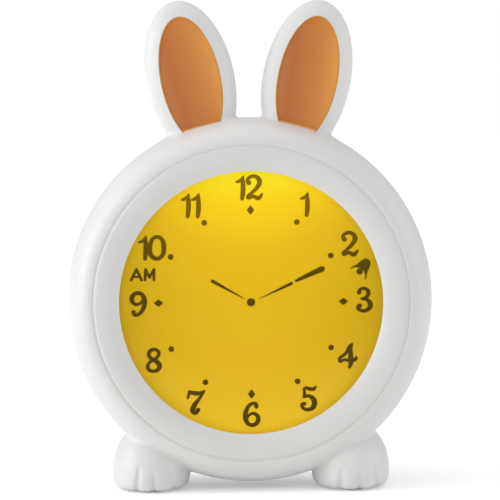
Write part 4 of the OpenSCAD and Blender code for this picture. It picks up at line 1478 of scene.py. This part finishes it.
@dataclass
class DialPrint:
    """The liquid crystal's picture: numerals, hour marks, hands and the two signs."""

    numeral_h: float = 8.8
    weight: float = 1.42
    spread: float = 1.06
    ring_r: float = 35.2
    dot_r: float = 1.1
    diamond: Point = (1.45, 1.88)
    figure_gap: float = 0.14
    centre_r: float = 1.58
    thick: float = 0.05
    lift: float = 0.06
    # Middles of the numerals in the dial frame, which stand on a slightly squared ring
    places: dict[str, Point] = field(
        default_factory=lambda: {
            "12": (-0.4, 43.8), "1": (20.7, 37.3), "2": (37.8, 22.0), "3": (43.3, 0.6), "4": (36.8, -20.8),
            "5": (21.8, -37.2), "6": (0.0, -42.9), "7": (-21.2, -38.0), "8": (-37.2, -21.8),
            "9": (-42.9, -0.2), "10": (-37.4, 21.2), "11": (-22.6, 37.2),
        }
    )

    def build(self) -> None:
        """Makes every printed figure and lays it on the front of the cell."""
        for text, place in self.places.items():
            self._lay(self._numeral(text), place)
        for hour in range(1, 13):
            degrees = 90 - 30 * hour
            mark = self._diamond(degrees) if hour % 3 == 0 else self._dot()
            angle = math.radians(degrees)
            self._lay(mark, (self.ring_r * math.cos(angle), self.ring_r * math.sin(angle)))
        self._hands()
        self._signs()

    def _stroke(self, name: str, stroke: Stroke, scale: float) -> Piece:
        """Draws one pen stroke as a round-ended ribbon.

        Args:
            name: The piece's name.
            stroke: Points x, y and half the pen's width.
            scale: Millimetres to the unit.

        Returns:
            The stroke as a mesh flattened to the print's thickness.
        """
        bpy.ops.object.select_all(action="DESELECT")
        bpy.ops.curve.primitive_bezier_curve_add()
        curve = bpy.context.object
        curve.name = name
        spline = curve.data.splines[0]
        spline.bezier_points.add(len(stroke) - len(spline.bezier_points))
        for point, (x, y, half) in zip(spline.bezier_points, stroke):
            point.co = (x * scale, y * scale, 0)
            point.handle_left_type = point.handle_right_type = "AUTO"
            point.radius = half * scale
        curve.data.bevel_depth = 1.0
        curve.data.bevel_resolution = 3
        curve.data.resolution_u = 8
        curve.data.use_fill_caps = True
        Bench.take(curve)
        bpy.ops.object.convert(target="MESH")
        piece = bpy.context.object
        return Bench.join(name, piece, self._ball(stroke[0], scale), self._ball(stroke[-1], scale))

    def _ball(self, end: tuple[float, float, float], scale: float) -> Piece:
        """The round end of a stroke."""
        x, y, half = (value * scale for value in end)
        return Bench.ball("ball", half, 20, 10, (x, y, 0))

    def _numeral(self, text: str) -> Piece:
        """Draws a numeral and centres it on the origin.

        Args:
            text: Its one or two figures.

        Returns:
            The numeral.
        """
        strokes = []
        x = 0.0
        for figure in text:
            shapes = NUMERALS[figure]
            for stroke in shapes:
                moved = [((px + x) * self.spread, py, half * self.weight) for px, py, half in stroke]
                strokes.append(self._stroke(f"numeral_{text}", moved, self.numeral_h))
            x += max(px for stroke in shapes for px, _, _ in stroke) + self.figure_gap
        piece = Bench.join(f"numeral_{text}", *strokes)
        xs = [vertex.co.x for vertex in piece.data.vertices]
        middle = Vector((-(min(xs) + max(xs)) / 2, -self.numeral_h / 2, 0))
        return Bench.move(piece, Matrix.Translation(middle))

    def _dot(self) -> Piece:
        """The round mark of an hour."""
        return Bench.ball("hour_dot", self.dot_r, 24, 8)

    def _diamond(self, angle: float) -> Piece:
        """The diamond mark of a quarter, its long axis along the radius.

        Args:
            angle: The radius's angle in degrees.

        Returns:
            The mark.
        """
        piece = Bench.rod("quarter_mark", 1, -0.5, 0.5, sides=4)
        across, along = self.diamond
        return Bench.move(piece, turn(angle, "Z") @ Matrix.Diagonal((along, across, 1, 1)))

    def _hands(self) -> None:
        """The hands at eleven minutes past ten, each a tapered run of segments."""
        hour = [(-2.75, 1.5, 0.16), (-8.7, 4.85, 0.42), (-14.6, 8.2, 0.7)]
        inner = [(3.1, 1.3, 0.1), (9.3, 4.2, 0.38), (15.4, 7.05, 0.64)]
        outer = [(17.3, 8.1, 0.58), (22.2, 10.35, 0.86), (27.1, 12.5, 1.12)]
        for name, stroke in (("hour_hand", hour), ("minute_hand", inner), ("minute_hand_tip", outer)):
            self._lay(self._stroke(name, stroke, 1.0), (0, 0))
        self._lay(Bench.ball("hand_centre", self.centre_r, 24, 8), (0, 0))

    def _signs(self) -> None:
        """The morning sign and the alarm bell."""
        pen = 0.54
        thin = pen * 0.8
        letters = [
            [(-4.6, -2.0, pen), (-3.6, 0.1, pen), (-2.6, 2.0, pen)],
            [(-2.6, 2.0, pen), (-1.6, 0.1, pen), (-0.7, -2.0, pen)],
            [(-4.0, -0.8, thin), (-1.2, -0.8, thin)],
            [(0.6, -2.0, pen), (0.9, 2.0, pen)],
            [(0.9, 2.0, pen), (2.3, -1.0, pen)],
            [(2.3, -1.0, pen), (4.1, 2.0, pen)],
            [(4.1, 2.0, pen), (4.0, -2.0, pen)],
        ]
        strokes = [self._stroke("morning_sign", letter, 1.0) for letter in letters]
        self._lay(Bench.join("morning_sign", *strokes), (-40.9, 10.9))
        side = [
            (0.8, 5.72), (1.4, 5.3), (1.75, 4.6), (2.1, 3.6), (2.35, 2.4), (2.6, 1.4), (3.0, 0.6),
            (3.45, -0.1), (3.6, -0.9), (3.4, -1.4), (3.15, -0.7), (2.7, 0.0), (2.1, 0.6), (1.3, 1.05),
            (0.6, 1.25),
        ]
        bell = self._plate("alarm_sign", [(0.0, 5.85), *side, *[(-x, y) for x, y in reversed(side)]])
        clapper = Bench.rod("clapper", 1.2, -0.5, 0.5, (0, 0.1), sides=32)
        piece = Bench.join("alarm_sign", bell, clapper)
        self._lay(Bench.move(piece, turn(-37, "Z")), (41.4, 11.3))

    def _plate(self, name: str, outline: Sequence[Point]) -> Piece:
        """A flat figure from its outline.

        Args:
            name: The piece's name.
            outline: Its corners in order.

        Returns:
            The figure, one millimetre thick.
        """
        piece = Bench.primitive("circle", name, vertices=len(outline), fill_type="NGON")
        for vertex, (x, y) in zip(piece.data.vertices, outline):
            vertex.co = (x, y, -0.5)
        Bench.edit(
            ("extrude_region_move", {"TRANSFORM_OT_translate": {"value": (0, 0, 1)}}),
            ("normals_make_consistent", {"inside": False}),
        )
        return piece

    def _lay(self, piece: Piece, place: Point) -> None:
        """Flattens a figure, lays it on the cell's front and dresses it as crystal.

        Args:
            piece: The figure, centred on the origin.
            place: Its middle on the dial.
        """
        face_z = CLOCK.split_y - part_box("lcd_cell")[0].y / MM + self.lift
        heights = [abs(vertex.co.z) for vertex in piece.data.vertices]
        flat = Matrix.Diagonal((1, 1, self.thick / max(heights), 1))
        Bench.move(piece, Matrix.Translation((*place, face_z)) @ flat)
        Bench.finish(piece, "lcd_glass", coat=LCD_INK)


# Studio --------------------------------------------------------------------------------------------


@dataclass
class Studio:
    """A pale sweep, soft lamps and the camera."""

    azimuth: float = -2.0
    elevation: float = 4.7
    roll: float = -0.35
    distance: float = 1.1
    frame_mm: float = 189.0
    sensor_mm: float = 36.0
    view_end: float = 20.0
    floor_size: float = 6.0
    aim: tuple[float, float, float] = (-0.5, -27.0, 93.0)
    # Each lamp's name, place and side in metres, and power in watts
    lamps: tuple[tuple[str, tuple[float, float, float], float, float], ...] = (
        ("key_lamp", (-1.05, -0.2, 0.32), 0.8, 6.2),
        ("fill_lamp", (1.05, -0.2, 0.32), 0.8, 2.0),
        ("top_lamp", (0.0, -0.1, 1.15), 0.8, 2.4),
        ("front_lamp", (-0.2, -1.3, 0.5), 0.9, 0.9),
    )
    sky: float = 0.505
    # The sheet's lift towards white: its strength near and far, and the distances of both in metres
    floor_lift: Point = (0.3, 0.75)
    floor_fade: Point = (0.12, 0.5)

    def build(self) -> None:
        """Makes the floor, the world, the lamps and the camera."""
        self._floor()
        self._world()
        for lamp in self.lamps:
            self._lamp(*lamp)
        self._camera()
        bpy.context.scene.view_settings.view_transform = "Standard"

    @staticmethod
    def _seen(tree: Tree, *rays: str) -> Node:
        """Tells the rays that make what is seen from those that only light the clock.

        Args:
            tree: The material's or world's node tree.
            rays: The kinds of rays that count as seen.

        Returns:
            A node that gives 1 for them and 0 for the others.
        """
        path = add_node(tree, "LightPath")
        seen = path.outputs[rays[0]]
        for ray in rays[1:]:
            seen = add_node(tree, "Math", {0: seen, 1: path.outputs[ray]}, operation="MAXIMUM")
        return seen

    def _floor(self) -> None:
        """A wide pale sheet under the pads that keeps the clock's shadow."""
        sheet = Bench.primitive("plane", "floor_sheet", size=self.floor_size)
        # Coated background paper: an even matt white, lifted towards the surround's white with distance
        material = bpy.data.materials.new("pale_studio_paper")
        material.use_nodes = True
        tree = material.node_tree
        seen = self._seen(tree, "Is Camera Ray", "Is Glossy Ray", "Is Transmission Ray")
        place = add_node(tree, "TexCoord").outputs["Object"]
        away = add_node(tree, "VectorMath", {0: place}, operation="LENGTH").outputs["Value"]
        near, far = self.floor_fade
        low, high = self.floor_lift
        fade = {"Value": away, "From Min": near, "From Max": far, "To Min": low, "To Max": high}
        lift = add_node(tree, "Math", {0: seen, 1: add_node(tree, "MapRange", fade)}, operation="MULTIPLY")
        paper = tree.nodes["Principled BSDF"]
        feed(tree, paper, {"Base Color": linear("#fbfbfb"), "Roughness": 0.8})
        feed(tree, paper, {"Emission Color": linear("#ffffff"), "Emission Strength": lift})
        sheet.data.materials.append(material)

    def _world(self) -> None:
        """An even white surround that shows as white behind the clock."""
        world = bpy.data.worlds.new("studio")
        bpy.context.scene.world = world
        world.use_nodes = True
        tree = world.node_tree
        seen = self._seen(tree, "Is Camera Ray", "Is Transmission Ray")
        level = add_node(tree, "MapRange", {"Value": seen, "To Min": self.sky, "To Max": 1.0})
        feed(tree, tree.nodes["Background"], {"Color": linear("#ffffff"), "Strength": level})

    def _lamp(self, name: str, place: Sequence[float], size: float, power: float) -> None:
        """Hangs a soft square lamp that faces the clock's middle.

        Args:
            name: The lamp's name.
            place: Where it hangs, in metres.
            size: Its side in metres.
            power: Its power in watts.
        """
        data = bpy.data.lights.new(name, "AREA")
        data.size = size
        data.energy = power
        lamp = bpy.data.objects.new(name, data)
        bpy.context.scene.collection.objects.link(lamp)
        lamp.location = place
        aim = Vector(self.aim) * MM - Vector(place)
        lamp.rotation_euler = aim.to_track_quat("-Z", "Y").to_euler()

    def _camera(self) -> None:
        """Sets a long lens a little left of and above the clock."""
        data = bpy.data.cameras.new("camera")
        camera = bpy.data.objects.new("camera", data)
        bpy.context.scene.collection.objects.link(camera)
        aside, tilt = math.radians(self.azimuth), math.radians(self.elevation)
        back = Vector((math.sin(aside) * math.cos(tilt), -math.cos(aside) * math.cos(tilt), math.sin(tilt)))
        camera.location = Vector(self.aim) * MM + back * self.distance
        look = (-back).to_track_quat("-Z", "Y").to_matrix().to_4x4()
        camera.rotation_euler = (look @ turn(self.roll, "Z")).to_euler()
        data.sensor_width = self.sensor_mm
        data.lens = data.sensor_width * self.distance / (self.frame_mm * MM)
        data.clip_end = self.view_end
        bpy.context.scene.camera = camera


def dress_nodes() -> None:
    """Gives every node of the frame the finish of its material slot."""
    slots = {part["node"]: part["material_slot"] for part in frame["record"]["subparts"]}
    for name, node in frame["nodes"].items():
        node.data.materials.clear()
        node.data.materials.append(Slot[slots[name].upper()].value.material())


def main() -> None:
    """Builds every sub-assembly in order."""
    logging.basicConfig(level=logging.INFO, format="%(name)s: %(message)s")
    dress_nodes()
    CaseShells().build()
    RearControls().build()
    DialBezel().build()
    LampWindows().build()
    FootPads().build()
    DialPrint().build()
    Studio().build()


if __name__ == "__main__":
    main()
